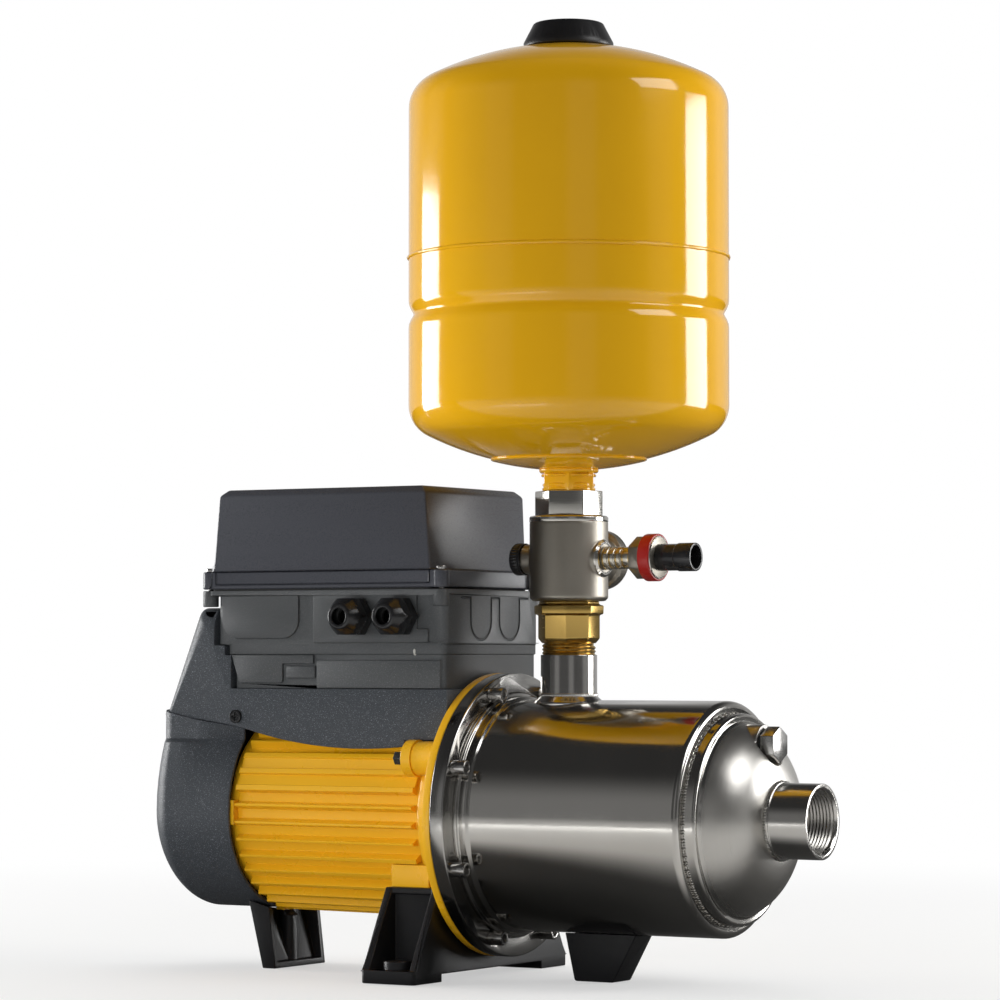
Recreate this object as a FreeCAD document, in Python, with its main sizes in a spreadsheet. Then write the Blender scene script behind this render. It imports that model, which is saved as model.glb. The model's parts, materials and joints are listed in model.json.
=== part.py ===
"""Constant pressure pump: a horizontal multistage pump with a controller on its motor and a
pressure vessel on a column of fittings over its outlet.

Millimetres. The origin is on the floor, midway between the two bolt holes of the main foot.
+X runs along the shaft to the inlet and +Z is up. Bodies on the shaft or on the column are
drawn about the point where the shaft axis and the column axis cross, and are placed there.
"""
import FreeCAD, Part
import math
import os
import re
import Sketcher

Vector = FreeCAD.Vector
doc = FreeCAD.newDocument("ConstantPressurePump")
sheet = doc.addObject("Spreadsheet::Sheet", "Sizes")

SIZES = {
    # where the axes cross
    "column_x": 77.0,
    "axis_height": 104.0,
    # clearances
    "fit_gap": 0.1,
    "seat_gap": 0.3,
    "running_gap": 0.05,
    "tip_gap": 1.0,
    # stainless casing
    "flange_x": -48.7,
    "flange_radius": 91.2,
    "clamp_ring_depth": 9.8,
    "casing_wall": 1.5,
    "casing_rim_radius": 88.0,
    "casing_flare_radius": 78.4,
    "casing_step_radius": 76.2,
    "casing_step_length": 5.6,
    "sleeve_radius": 74.1,
    "sleeve_end": 118.6,
    "sleeve_end_round": 4.2,
    "end_ring_radius": 66.3,
    "end_ring_length": 8.2,
    "dome_radius": 61.5,
    "dome_end": 152.0,
    "dome_bow": 46.0,
    "inlet_radius": 23.6,
    "inlet_bore_radius": 19.5,
    "inlet_length": 31.6,
    "inlet_weld": 1.2,
    "outlet_radius": 18.1,
    "outlet_top": 103.0,
    "outlet_weld_radius": 22.5,
    "flange_screw_circle": 83.6,
    "flange_screw_count": 8,
    "flange_screw_radius": 3.0,
    "flange_screw_head_radius": 4.8,
    "flange_screw_head": 10.0,
    "flange_screw_key": 5.0,
    "plug_height": 47.0,
    "plug_seat_x": 141.0,
    "plug_boss_radius": 12.6,
    "plug_boss_wall": 1.4,
    "plug_shank_radius": 6.6,
    "plug_flats": 20.0,
    "plug_head": 9.0,
    "washer_thickness": 1.5,
    # pump stages
    "stage_count": 5,
    "stage_pitch": 24.0,
    "stage_start": -13.0,
    "stage_radius": 60.5,
    "stage_wall": 1.6,
    "impeller_radius": 52.0,
    "impeller_width": 10.0,
    "impeller_wall": 1.6,
    "impeller_eye_radius": 22.0,
    "impeller_hub_radius": 12.0,
    "vane_count": 6,
    "vane_thickness": 1.8,
    "return_vane_count": 7,
    "suction_plate_thickness": 3.0,
    "seal_plate_thickness": 5.0,
    "seal_bore_radius": 21.0,
    "seal_ring_radius": 17.0,
    "seal_length": 19.0,
    "o_ring_thickness": 3.0,
    # shaft line
    "pump_shaft_radius": 8.0,
    "front_journal_radius": 8.5,
    "motor_shaft_radius": 10.0,
    "rear_journal_radius": 7.5,
    "shaft_rear_x": -256.0,
    "front_bearing_radius": 20.0,
    "front_bearing_width": 12.0,
    "front_bearing_x": -70.0,
    "rear_bearing_radius": 17.5,
    "rear_bearing_width": 11.0,
    "rear_bearing_x": -221.0,
    "race_thickness": 3.2,
    # motor
    "bracket_ring_depth": 5.4,
    "bracket_web": 8.0,
    "bracket_hub_radius": 26.0,
    "housing_front_x": -73.0,
    "housing_length": 142.0,
    "housing_bore_radius": 57.5,
    "housing_root_radius": 61.5,
    "fin_tip_front": 67.7,
    "fin_tip_rear": 66.2,
    "fin_count": 36,
    "fin_first_angle": 5.5,
    "fin_root_width": 5.0,
    "fin_tip_width": 3.2,
    "spigot_length": 4.0,
    "end_shield_thickness": 6.0,
    "stator_front_x": -96.0,
    "stator_length": 92.0,
    "stator_bore_radius": 33.5,
    "slot_count": 24,
    "winding_reach": 12.0,
    "rotor_gap": 0.4,
    "tie_bolt_radius": 2.0,
    "tie_bolt_circle": 54.4,
    "tie_bolt_count": 4,
    "lug_radius": 12.0,
    "lug_depth": 7.0,
    "lug_y": 64.0,
    "lug_z": 37.0,
    "lug_screw_radius": 2.5,
    "lug_screw_flats": 8.5,
    "foot_block_y": 52.0,
    "foot_block_width": 14.0,
    "foot_block_length": 28.0,
    "foot_block_height": 14.0,
    "foot_block_reach": 4.0,
    "fan_radius": 58.0,
    "fan_hub_radius": 15.0,
    "fan_width": 20.0,
    "fan_x": -252.0,
    "fan_blade_count": 9,
    "fan_blade_thickness": 2.0,
    # fan cowl
    "cowl_radius": 70.0,
    "cowl_wall": 2.5,
    "cowl_rim_x": -217.0,
    "cowl_rear_x": -300.0,
    "cowl_round": 20.0,
    "cowl_seam_rear": 67.0,
    "cowl_seam_front": 56.0,
    "grille_radius": 46.0,
    "grille_slot": 4.6,
    "grille_pitch": 9.2,
    # upper cowl
    "shroud_half_width": 60.0,
    "shroud_wall": 2.5,
    "shroud_front_x": -55.0,
    "shroud_foot_x": -285.0,
    "shroud_top_x": -251.4,
    "shroud_top": 134.0,
    "shroud_deck": 81.0,
    "shroud_low_front": 49.0,
    "shroud_low_bow": 340.0,
    "shroud_round": 14.0,
    "cowl_screw_x": -217.6,
    "cowl_screw_z": 62.6,
    "cowl_screw_radius": 4.4,
    "cowl_screw_rise": 1.8,
    # controller
    "tub_front_x": -57.0,
    "tub_rear_x": -234.0,
    "tub_half_width": 58.5,
    "tub_low": 109.8,
    "neck_front_x": -57.8,
    "neck_rear_x": -226.0,
    "neck_low": 103.3,
    "base_foot_front_x": -58.5,
    "base_foot_rear_x": -221.0,
    "base_foot_half_width": 57.5,
    "rim_front_x": -56.5,
    "rim_rear_x": -241.0,
    "rim_half_width": 61.0,
    "rim_height": 3.5,
    "seam_height": 145.0,
    "plate_rise": 2.0,
    "lid_height": 66.5,
    "lid_low_front_x": -66.7,
    "lid_low_rear_x": -238.0,
    "lid_low_half_width": 60.2,
    "lid_top_front_x": -72.4,
    "lid_top_rear_x": -228.0,
    "lid_top_half_width": 58.5,
    "lid_chamfer": 4.0,
    "box_wall": 3.0,
    "ear_rear_x": -241.0,
    "ear_front_x": -61.6,
    "ear_y": 56.0,
    "ear_radius": 5.2,
    "ear_height": 11.5,
    "base_ear_height": 10.5,
    "ear_screw_radius": 1.7,
    "ear_screw_head_radius": 3.2,
    "ear_screw_head": 2.4,
    "gasket_thickness": 1.0,
    "board_height": 112.0,
    "board_thickness": 1.6,
    "board_length": 140.0,
    "board_width": 100.0,
    "board_post_radius": 4.0,
    "gland_first_x": -122.8,
    "gland_spacing": 33.6,
    "gland_height": 127.5,
    "gland_thread_radius": 8.0,
    "gland_flats": 20.5,
    "gland_bore_radius": 4.6,
    "gland_body_depth": 7.0,
    "gland_nut_depth": 12.0,
    # feet
    "foot_length": 40.0,
    "foot_half_width": 95.4,
    "foot_lip": 8.5,
    "foot_bolt_spacing": 166.0,
    "foot_bolt_radius": 4.5,
    "foot_boss_radius": 9.0,
    "foot_boss_height": 14.0,
    "foot_arch": 5.0,
    "foot_arch_half_width": 62.0,
    "foot_rib": 5.0,
    "foot_pad_half_width": 60.0,
    "foot_pad_height": 45.0,
    "foot_screw_radius": 3.0,
    "pump_foot_top_x": 3.0,
    "pump_foot_top_length": 53.5,
    "pump_foot_x": 10.5,
    "pump_foot_length": 28.0,
    "pump_foot_width": 23.0,
    "rear_foot_x": -217.0,
    "rear_foot_length": 10.0,
    "rear_foot_top_x": -230.0,
    "rear_foot_top_length": 17.4,
    "rear_foot_width": 60.0,
    "foot_wall": 4.0,
    # column of fittings, heights above the shaft axis
    "valve_tail_radius": 16.6,
    "valve_tail_length": 14.0,
    "valve_body_low": 110.3,
    "valve_hex_low": 129.1,
    "valve_hex_top": 137.3,
    "valve_body_flats": 39.8,
    "valve_hex_flats": 43.0,
    "valve_bore_radius": 13.0,
    "valve_seat_radius": 9.5,
    "valve_guide_low": 132.0,
    "poppet_radius": 11.8,
    "poppet_stem_radius": 2.5,
    "spring_wire": 1.2,
    "spring_radius": 5.0,
    "spring_turns": 4.0,
    "cross_radius": 25.25,
    "cross_top": 191.9,
    "cross_band": 4.0,
    "cross_bevel": 2.0,
    "port_height": 164.5,
    "side_boss_radius": 9.7,
    "side_boss_reach": 31.5,
    "side_thread_radius": 6.0,
    "sensor_boss_radius": 12.5,
    "sensor_boss_reach": 27.0,
    "delivery_radius": 19.2,
    "delivery_reach": 45.0,
    "delivery_bore_radius": 15.15,
    "blank_head_radius": 10.8,
    "blank_head": 7.9,
    "nipple_radius": 6.9,
    "nipple_reach": 50.0,
    "sensor_flats": 24.0,
    "sensor_hex": 8.0,
    "sensor_ring_radius": 15.1,
    "sensor_ring_width": 8.0,
    "connector_radius": 8.5,
    "connector_end": 92.6,
    "connector_socket_radius": 7.2,
    "connector_socket_depth": 12.0,
    "nipple_hex_flats": 38.0,
    "nipple_hex_top": 207.9,
    "neck_flats": 34.0,
    "neck_radius": 15.8,
    "neck_bore_radius": 9.0,
    # pressure vessel
    "tank_radius": 103.0,
    "tank_wall": 1.5,
    "tank_bottom_shoulder": 263.1,
    "tank_top_shoulder": 454.6,
    "tank_crown_radius": 205.0,
    "tank_knuckle_radius": 21.5,
    "tank_seam": 357.9,
    "tank_bead_radius": 1.2,
    "tank_groove": 321.4,
    "tank_groove_depth": 3.2,
    "tank_groove_half_height": 6.5,
    "weld_plate_radius": 49.5,
    "weld_plate_thickness": 1.8,
    "diaphragm_thickness": 2.0,
    "air_valve_radius": 5.0,
    "air_valve_height": 11.0,
    "air_pin_radius": 1.2,
    "cap_radius": 29.0,
    "cap_top_radius": 22.3,
    "cap_height": 17.1,
    "cap_wall": 2.2,
}

# The sheet holds every driving dimension, one row each.
for row, (alias, number) in enumerate(SIZES.items(), 1):
    sheet.set(f"A{row}", alias.replace("_", " "))
    sheet.set(f"B{row}", str(number))
    sheet.setAlias(f"B{row}", alias)
doc.recompute()

WORD = re.compile(r"[a-z_][a-z_0-9]*")
CROSSING = ("column_x", "0", "axis_height")
# the vessel's dished ends: how far the knuckle's centre stands off and where the ends lie
TANK_REACH = "(tank_crown_radius - tank_knuckle_radius)"
TANK_SLOPE = f"asin((tank_radius - tank_knuckle_radius) / {TANK_REACH})"
TANK_RISE = f"(tank_crown_radius - {TANK_REACH} * cos({TANK_SLOPE}))"
TANK_TOP = f"(tank_top_shoulder + {TANK_RISE})"
TANK_BOTTOM = f"(tank_bottom_shoulder - {TANK_RISE})"


def size(expression):
    """The number that an expression on the sheet's sizes gives."""
    found = sheet.evalExpression(str(expression))
    return float(getattr(found, "Value", found))


def bound(expression):
    """The same expression, as another object of the document reads it."""
    return WORD.sub(lambda word: "Sizes." + word[0] if word[0] in SIZES else word[0], str(expression))


def bind(thing, **properties):
    """Ties properties of an object to expressions on the sheet."""
    for name, expression in properties.items():
        thing.setExpression(name, bound(expression))
    return thing


def place(thing, at=CROSSING, turn=None):
    """Puts an object at three expressions, turned by an axis and an angle."""
    if turn:
        thing.Placement = FreeCAD.Placement(Vector(), FreeCAD.Rotation(Vector(*turn[0]), turn[1]))
    for letter, expression in zip("xyz", at):
        thing.setExpression("Placement.Base." + letter, bound(expression))
    return thing


def new_body(label, at=CROSSING):
    body = doc.addObject("PartDesign::Body", label)
    body.Label = label
    body.AllowCompound = True
    return place(body, at)


def origin_of(body, role):
    """One of the body's own origin planes or axes."""
    return [feature for feature in body.Origin.OriginFeatures if feature.Role == role][0]


def new_sketch(body, plane, offset=None):
    sketch = body.newObject("Sketcher::SketchObject", body.Name + "Sketch")
    sketch.AttachmentSupport = (origin_of(body, plane), [""])
    sketch.MapMode = "FlatFace"
    if offset is not None:
        sketch.setExpression("AttachmentOffset.Base.z", bound(offset))
    return sketch


def pin_down(sketch, point, corner, tag):
    """Holds a point of the sketch at the two expressions of a corner."""
    for kind, expression in (("DistanceX", corner[0]), ("DistanceY", corner[1])):
        index = sketch.addConstraint(Sketcher.Constraint(kind, -1, 1, point[0], point[1], size(expression)))
        name = f"{kind}_{tag}"
        sketch.renameConstraint(index, name)
        sketch.setExpression("Constraints." + name, bound(expression))


def hold_radius(sketch, arc, expression, tag):
    index = sketch.addConstraint(Sketcher.Constraint("Radius", arc, size(expression)))
    sketch.renameConstraint(index, f"radius_{tag}")
    sketch.setExpression(f"Constraints.radius_{tag}", bound(expression))


def rounded_corner(before, corner, after, radius):
    """Where a corner's tangent arc starts, its middle and where it ends."""
    back, ahead = (before - corner).normalize(), (after - corner).normalize()
    half = back.getAngle(ahead) / 2
    reach = radius / math.tan(half)
    centre = corner + (back + ahead).normalize() * (radius / math.sin(half))
    middle = centre + (corner - centre).normalize() * radius
    return corner + back * reach, middle, corner + ahead * reach


def bowed_edge(start, end, radius):
    """The middle of an arc from start to end that bows to the left where radius is positive."""
    chord = end - start
    left = Vector(-chord.y, chord.x, 0).normalize()
    reach = abs(radius) - math.sqrt(radius**2 - (chord.Length / 2) ** 2)
    return (start + end) / 2 + left * math.copysign(reach, radius)


def add_arc(sketch, start, middle, end):
    """Adds an arc through three points: its number, and which of its ends come first and last."""
    turns_left = (middle - start).cross(end - middle).z > 0
    if turns_left:
        return sketch.addGeometry(Part.Arc(start, middle, end)), 1, 2
    return sketch.addGeometry(Part.Arc(end, middle, start)), 2, 1


def outline(sketch, corners):
    """Draws a closed outline whose corners are held by expressions.

    A corner is (x, y), (x, y, "round", radius) with a tangent arc in place of the corner, or
    (x, y, "bow", radius) where the edge to the next corner is an arc that bows to the left.
    """
    first = len(sketch.Geometry)
    count = len(corners)
    at = [Vector(size(corner[0]), size(corner[1]), 0) for corner in corners]
    rounds = {
        i: rounded_corner(at[i - 1], at[i], at[(i + 1) % count], size(corner[3]))
        for i, corner in enumerate(corners)
        if len(corner) > 3 and corner[2] == "round"
    }
    edges = []
    for i, corner in enumerate(corners):
        after = (i + 1) % count
        start = rounds[i][2] if i in rounds else at[i]
        end = rounds[after][0] if after in rounds else at[after]
        if len(corner) > 3 and corner[2] == "bow":
            edge = add_arc(sketch, start, bowed_edge(start, end, size(corner[3])), end)
            hold_radius(sketch, edge[0], f"abs({corner[3]})", f"bow_{first}_{i}")
            edges.append(edge)
        else:
            edges.append((sketch.addGeometry(Part.LineSegment(start, end)), 1, 2))
    for i, corner in enumerate(corners):
        line_in, line_out = edges[i - 1], edges[i]
        if i in rounds:
            arc, near, far = add_arc(sketch, *rounds[i])
            sketch.addConstraint(Sketcher.Constraint("Tangent", line_in[0], line_in[2], arc, near))
            sketch.addConstraint(Sketcher.Constraint("Tangent", arc, far, line_out[0], line_out[1]))
            hold_radius(sketch, arc, corner[3], f"round_{first}_{i}")
            point = sketch.addGeometry(Part.Point(at[i]), True)
            sketch.addConstraint(Sketcher.Constraint("PointOnObject", point, 1, line_in[0]))
            sketch.addConstraint(Sketcher.Constraint("PointOnObject", point, 1, line_out[0]))
            pin_down(sketch, (point, 1), corner, f"{first}_{i}")
        else:
            sketch.addConstraint(
                Sketcher.Constraint("Coincident", line_in[0], line_in[2], line_out[0], line_out[1])
            )
            pin_down(sketch, (line_out[0], line_out[1]), corner, f"{first}_{i}")


def circle(sketch, x, y, radius):
    ring = sketch.addGeometry(Part.Circle(Vector(size(x), size(y), 0), Vector(0, 0, 1), size(radius)))
    pin_down(sketch, (ring, 3), (x, y), f"circle_{ring}")
    hold_radius(sketch, ring, radius, f"circle_{ring}")


def rectangle(x_low, x_high, y_low, y_high):
    return [(x_low, y_low), (x_high, y_low), (x_high, y_high), (x_low, y_high)]


def turned(body, corners, about="X", cut=False):
    """Revolves an outline: (x, radius) about X, (radius, z) about Z or (y, radius) about Y."""
    sketch = new_sketch(body, "YZ_Plane" if about == "Y" else "XZ_Plane")
    outline(sketch, corners)
    feature = body.newObject("PartDesign::Groove" if cut else "PartDesign::Revolution", body.Name + "Turned")
    feature.Profile = sketch
    feature.ReferenceAxis = (sketch, ["V_Axis" if about == "Z" else "H_Axis"])
    feature.Angle = 360
    return feature


def extruded(body, plane, shapes, length, cut=False, offset=None, both_ways=False, back=False):
    """Pads or pockets outlines and circles drawn on one plane of the body."""
    sketch = new_sketch(body, plane, offset)
    for shape in shapes:
        if isinstance(shape, tuple):
            circle(sketch, *shape)
        else:
            outline(sketch, shape)
    feature = body.newObject("PartDesign::Pocket" if cut else "PartDesign::Pad", body.Name + "Extruded")
    feature.Profile = sketch
    bind(feature, Length=length)
    if both_ways:
        feature.SideType = "Symmetric"
    feature.Reversed = back
    return feature


def around(body, features, axis, count):
    """Repeats features round one of the body's axes."""
    pattern = body.newObject("PartDesign::PolarPattern", body.Name + "Round")
    pattern.Originals = features
    pattern.Axis = (origin_of(body, axis), [""])
    pattern.Angle = 360
    bind(pattern, Occurrences=count)
    body.Tip = pattern
    return pattern


def rounded(body, radius, wanted, chamfer=False):
    """Fillets or chamfers the edges of the body so far that wanted(edge) picks."""
    doc.recompute()
    tip = body.Tip
    names = [f"Edge{i}" for i, edge in enumerate(tip.Shape.Edges, 1) if wanted(edge)]
    feature = body.newObject("PartDesign::Chamfer" if chamfer else "PartDesign::Fillet", body.Name + "Rounded")
    feature.Base = (tip, names)
    bind(feature, **{"Size" if chamfer else "Radius": radius})
    return feature


def middle_of(edge):
    return edge.valueAt((edge.FirstParameter + edge.LastParameter) / 2)


def cylinder(name, radius, length, at, along="Z"):
    """A plain cylinder from at, along one axis of the frame."""
    turn = {"X": ((0, 1, 0), 90), "Y": ((1, 0, 0), -90), "Z": None}[along]
    shape = doc.addObject("Part::Cylinder", name)
    bind(shape, Radius=radius, Height=length)
    return place(shape, at, turn)


def block(name, length, width, height, at):
    shape = doc.addObject("Part::Box", name)
    bind(shape, Length=length, Width=width, Height=height)
    return place(shape, at)


def prism(name, flats, length, at, along="Z", sides=6):
    """A regular prism, sized across its flats."""
    turn = {"X": ((0, 1, 0), 90), "Y": ((1, 0, 0), -90), "Z": None}[along]
    shape = doc.addObject("Part::Prism", name)
    shape.Polygon = sides
    bind(shape, Circumradius=f"({flats}) / 2 / cos(180 / {sides})", Height=length)
    return place(shape, at, turn)


def joined(label, shapes):
    """One solid made of several."""
    shape = doc.addObject("Part::MultiFuse", label)
    shape.Shapes = shapes
    shape.Label = label
    return shape


def cut_away(label, base, tool):
    shape = doc.addObject("Part::Cut", label)
    shape.Base = base
    shape.Tool = tool
    shape.Label = label
    return shape


def grouped(label, shapes):
    """Separate solids of one kind that share a node."""
    shape = doc.addObject("Part::Compound", label)
    shape.Links = shapes
    shape.Label = label
    return shape


# Pump end: casing, sockets, flange and plug


def flange_holes(body, radius):
    """The circle of screw holes that the flange's pieces share."""
    angle = "180 / flange_screw_count"
    hole = extruded(
        body,
        "YZ_Plane",
        [(f"flange_screw_circle * sin({angle})", f"flange_screw_circle * cos({angle})", radius)],
        "4 * clamp_ring_depth",
        cut=True,
        offset="flange_x - 2 * clamp_ring_depth",
        back=True,
    )
    around(body, [hole], "X_Axis", "flange_screw_count")


def make_casing():
    """A drawn sleeve with a stepped flare at the flange and a domed end."""
    body = new_body("casing_shell")
    rim = "flange_x + casing_wall"
    step = "flange_x + clamp_ring_depth + 1.6"
    inner = "sleeve_radius - casing_wall"
    turned(
        body,
        [
            ("flange_x", "casing_flare_radius - casing_wall"),
            ("flange_x", "casing_rim_radius"),
            (rim, "casing_rim_radius"),
            (rim, "casing_flare_radius"),
            (step, "casing_flare_radius"),
            (f"{step} + 0.6", "casing_step_radius"),
            (f"{step} + casing_step_length", "casing_step_radius"),
            (f"{step} + casing_step_length + 1.6", "sleeve_radius"),
            ("sleeve_end", "sleeve_radius", "round", "sleeve_end_round"),
            ("sleeve_end - 1", "end_ring_radius"),
            ("sleeve_end + end_ring_length", "end_ring_radius"),
            ("sleeve_end + end_ring_length - 1.2", "dome_radius", "bow", "dome_bow"),
            ("dome_end", "inlet_radius + inlet_weld"),
            ("dome_end", "inlet_radius"),
            ("dome_end - casing_wall * 1.2", "inlet_radius", "bow", "0 - dome_bow + casing_wall"),
            ("sleeve_end + end_ring_length - 1.2 - casing_wall", "dome_radius - casing_wall"),
            ("sleeve_end + end_ring_length - 1.2 - casing_wall", "end_ring_radius - casing_wall"),
            ("sleeve_end - 1 - casing_wall", "end_ring_radius - casing_wall"),
            ("sleeve_end - 1 - casing_wall", inner),
            (f"{step} + casing_step_length - casing_wall", inner),
            (f"{step} + casing_step_length - casing_wall", "casing_step_radius - casing_wall"),
            (f"{step} - casing_wall", "casing_step_radius - casing_wall"),
            (f"{step} - casing_wall", "casing_flare_radius - casing_wall"),
        ],
    )
    flange_holes(body, "flange_screw_radius + fit_gap")
    boss = cylinder(
        "plug_boss", "plug_boss_radius", "14", ("column_x + plug_seat_x - 14", "0", "axis_height + plug_height"), "X"
    )
    cup = cylinder(
        "plug_cup",
        "plug_boss_radius + plug_boss_wall",
        "16",
        ("column_x + plug_seat_x - 4", "0", "axis_height + plug_height"),
        "X",
    )
    dome = dome_solid()
    cup_in_dome = doc.addObject("Part::Common", "plug_cup_in_dome")
    cup_in_dome.Base, cup_in_dome.Tool = cup, dome
    boss_bore = cylinder(
        "plug_boss_bore",
        "plug_shank_radius + fit_gap",
        "30",
        ("column_x + plug_seat_x - 20", "0", "axis_height + plug_height"),
        "X",
    )
    clear_over_boss = cylinder(
        "plug_recess",
        "plug_boss_radius",
        "20",
        ("column_x + plug_seat_x", "0", "axis_height + plug_height"),
        "X",
    )
    outlet_bore = cylinder(
        "outlet_bore",
        "valve_tail_radius + fit_gap",
        "sleeve_radius",
        ("column_x", "0", "axis_height + sleeve_radius / 2"),
    )
    whole = joined("casing_with_boss", [body, boss, cup_in_dome])
    holes = joined("casing_holes", [boss_bore, clear_over_boss, outlet_bore])
    cut_away("pump_casing", whole, holes)


def dome_solid():
    """The space under the casing's dome, filled: it trims the cup round the plug."""
    body = new_body("dome_filled")
    start = "sleeve_end + end_ring_length - 1.2"
    turned(
        body,
        [
            (start, "0"),
            (start, "dome_radius", "bow", "dome_bow"),
            ("dome_end", "inlet_radius + inlet_weld"),
            ("dome_end", "0"),
        ],
    )
    return body


def make_sockets():
    """The two threaded sockets that are welded to the casing."""
    inlet = new_body("inlet_socket")
    weld = "inlet_radius + inlet_weld"
    turned(
        inlet,
        [
            ("dome_end - 6", "inlet_bore_radius"),
            ("dome_end - 6", "inlet_radius - fit_gap"),
            ("dome_end + fit_gap", "inlet_radius - fit_gap"),
            ("dome_end + fit_gap", weld),
            ("dome_end + 2.6", weld),
            ("dome_end + 2.6", "inlet_radius"),
            ("dome_end - 3 + inlet_length", "inlet_radius"),
            ("dome_end - 3 + inlet_length", "inlet_bore_radius + 1.5"),
            ("dome_end - 4.5 + inlet_length", "inlet_bore_radius"),
        ],
    )
    outlet = new_body("outlet_turned")
    turned(
        outlet,
        [
            ("valve_tail_radius + fit_gap", "sleeve_radius * 0.9"),
            ("outlet_weld_radius", "sleeve_radius * 0.9"),
            ("outlet_weld_radius", "sleeve_radius - 1.5"),
            ("outlet_radius", "sleeve_radius + 2.5"),
            ("outlet_radius", "outlet_top"),
            ("valve_tail_radius + fit_gap", "outlet_top"),
        ],
        about="Z",
    )
    sleeve = cylinder(
        "sleeve_space", "sleeve_radius", "4 * outlet_radius", ("column_x - 2 * outlet_radius", "0", "axis_height"), "X"
    )
    cut_away("outlet_socket", outlet, sleeve)


def make_clamp_ring():
    body = new_body("clamp_ring")
    front = "flange_x + clamp_ring_depth"
    turned(
        body,
        [
            ("flange_x", "casing_rim_radius + seat_gap"),
            ("flange_x", "flange_radius"),
            (front, "flange_radius"),
            (front, "casing_flare_radius + seat_gap"),
            ("flange_x + casing_wall", "casing_flare_radius + seat_gap"),
            ("flange_x + casing_wall", "casing_rim_radius + seat_gap"),
        ],
    )
    flange_holes(body, "flange_screw_radius + fit_gap")


def make_flange_screws():
    """Socket-head screws on a circle, standing on the clamp ring."""
    body = new_body("flange_screws")
    angle = "180 / flange_screw_count"
    at = (f"flange_screw_circle * sin({angle})", f"flange_screw_circle * cos({angle})")
    seat = "flange_x + clamp_ring_depth"
    shank = extruded(
        body,
        "YZ_Plane",
        [(*at, "flange_screw_radius")],
        "clamp_ring_depth + bracket_ring_depth",
        offset="flange_x - bracket_ring_depth",
    )
    head = extruded(body, "YZ_Plane", [(*at, "flange_screw_head_radius")], "flange_screw_head", offset=seat)
    across = "flange_screw_key / 2 / cos(30)"
    corners = [
        (f"{at[0]} + {across} * cos({60 * k})", f"{at[1]} + {across} * sin({60 * k})") for k in range(6)
    ]
    key = extruded(
        body, "YZ_Plane", [corners], "flange_screw_key", cut=True, offset=f"{seat} + flange_screw_head"
    )
    around(body, [shank, head, key], "X_Axis", "flange_screw_count")


def make_priming_plug():
    at = ("column_x + plug_seat_x", "0", "axis_height + plug_height")
    beyond = ("column_x + plug_seat_x + washer_thickness", "0", "axis_height + plug_height")
    head = prism("plug_hex", "plug_flats", "plug_head", beyond, "X")
    inward = ("column_x + plug_seat_x - 10", "0", "axis_height + plug_height")
    shank = cylinder("plug_shank", "plug_shank_radius", "10 + washer_thickness", inward, "X")
    joined("priming_plug", [head, shank])
    ring = cylinder("washer_disc", "plug_flats / 2", "washer_thickness", at, "X")
    bore = cylinder("washer_bore", "plug_shank_radius + fit_gap", "washer_thickness", at, "X")
    cut_away("plug_washer", ring, bore)


# Pump end: what the water meets inside


def make_seal_parts():
    """The plate that closes the casing, its ring seal and the two halves of the shaft seal."""
    plate_radius = "casing_flare_radius - casing_wall - fit_gap"
    front = "flange_x + seal_plate_thickness"
    groove = "o_ring_thickness * 0.8"
    plate = new_body("seal_plate")
    turned(
        plate,
        [
            ("flange_x", "seal_bore_radius - 5"),
            ("flange_x", plate_radius),
            (f"{front} - 1 - o_ring_thickness", plate_radius),
            (f"{front} - 1 - o_ring_thickness", f"{plate_radius} - {groove}"),
            (f"{front} - 1", f"{plate_radius} - {groove}"),
            (f"{front} - 1", plate_radius),
            (front, plate_radius),
            (front, "seal_bore_radius + 4"),
            (f"{front} + 3", "seal_bore_radius + 4"),
            (f"{front} + 3", "seal_bore_radius"),
            ("flange_x + 1.5", "seal_bore_radius"),
            ("flange_x + 1.5", "seal_bore_radius - 5"),
        ],
    )
    ring = new_body("casing_o_ring")
    turned(
        ring,
        [
            (f"{front} - 0.9 - o_ring_thickness", f"{plate_radius} - {groove} + fit_gap"),
            (f"{front} - 1.1", f"{plate_radius} - {groove} + fit_gap"),
            (f"{front} - 1.1", plate_radius),
            (f"{front} - 0.9 - o_ring_thickness", plate_radius),
        ],
    )
    seat = new_body("seal_seat")
    turned(
        seat,
        [
            ("flange_x + 1.5", "pump_shaft_radius + 1.5"),
            ("flange_x + 1.5", "seal_bore_radius - fit_gap"),
            (f"{front} + 3", "seal_bore_radius - fit_gap"),
            (f"{front} + 3", "seal_ring_radius - 2"),
            (f"{front} + 4.5", "seal_ring_radius - 2"),
            (f"{front} + 4.5", "pump_shaft_radius + 1.5"),
        ],
    )
    rotor = new_body("seal_ring")
    face = f"{front} + 4.5 + running_gap"
    turned(
        rotor,
        [
            (face, "pump_shaft_radius + running_gap"),
            (face, "seal_ring_radius - 2"),
            (f"{face} + 3", "seal_ring_radius - 2"),
            (f"{face} + 3", "seal_ring_radius"),
            (f"{face} + 6", "seal_ring_radius"),
            (f"{face} + 9", "seal_ring_radius - 3"),
            (f"{face} + 12", "seal_ring_radius"),
            (f"{face} + seal_length", "seal_ring_radius"),
            (f"{face} + seal_length", "pump_shaft_radius + running_gap"),
        ],
    )


def curved_vane(inner, outer, sweep, across, thickness):
    """Corners of one vane on the YZ plane: two arcs that lean back from eye to rim.

    across is the direction of its thickness at the root, in degrees.
    """
    step = f"({thickness}) / ({outer}) * 180 / pi"
    bow = f"(({outer}) - ({inner})) * 2"
    return [
        (inner, "0", "bow", bow),
        (f"({outer}) * cos({sweep})", f"({outer}) * sin({sweep})"),
        (f"({outer}) * cos({sweep} + {step})", f"({outer}) * sin({sweep} + {step})", "bow", f"0 - {bow}"),
        (f"({inner}) + {thickness} * cos({across})", f"{thickness} * sin({across})"),
    ]


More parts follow.
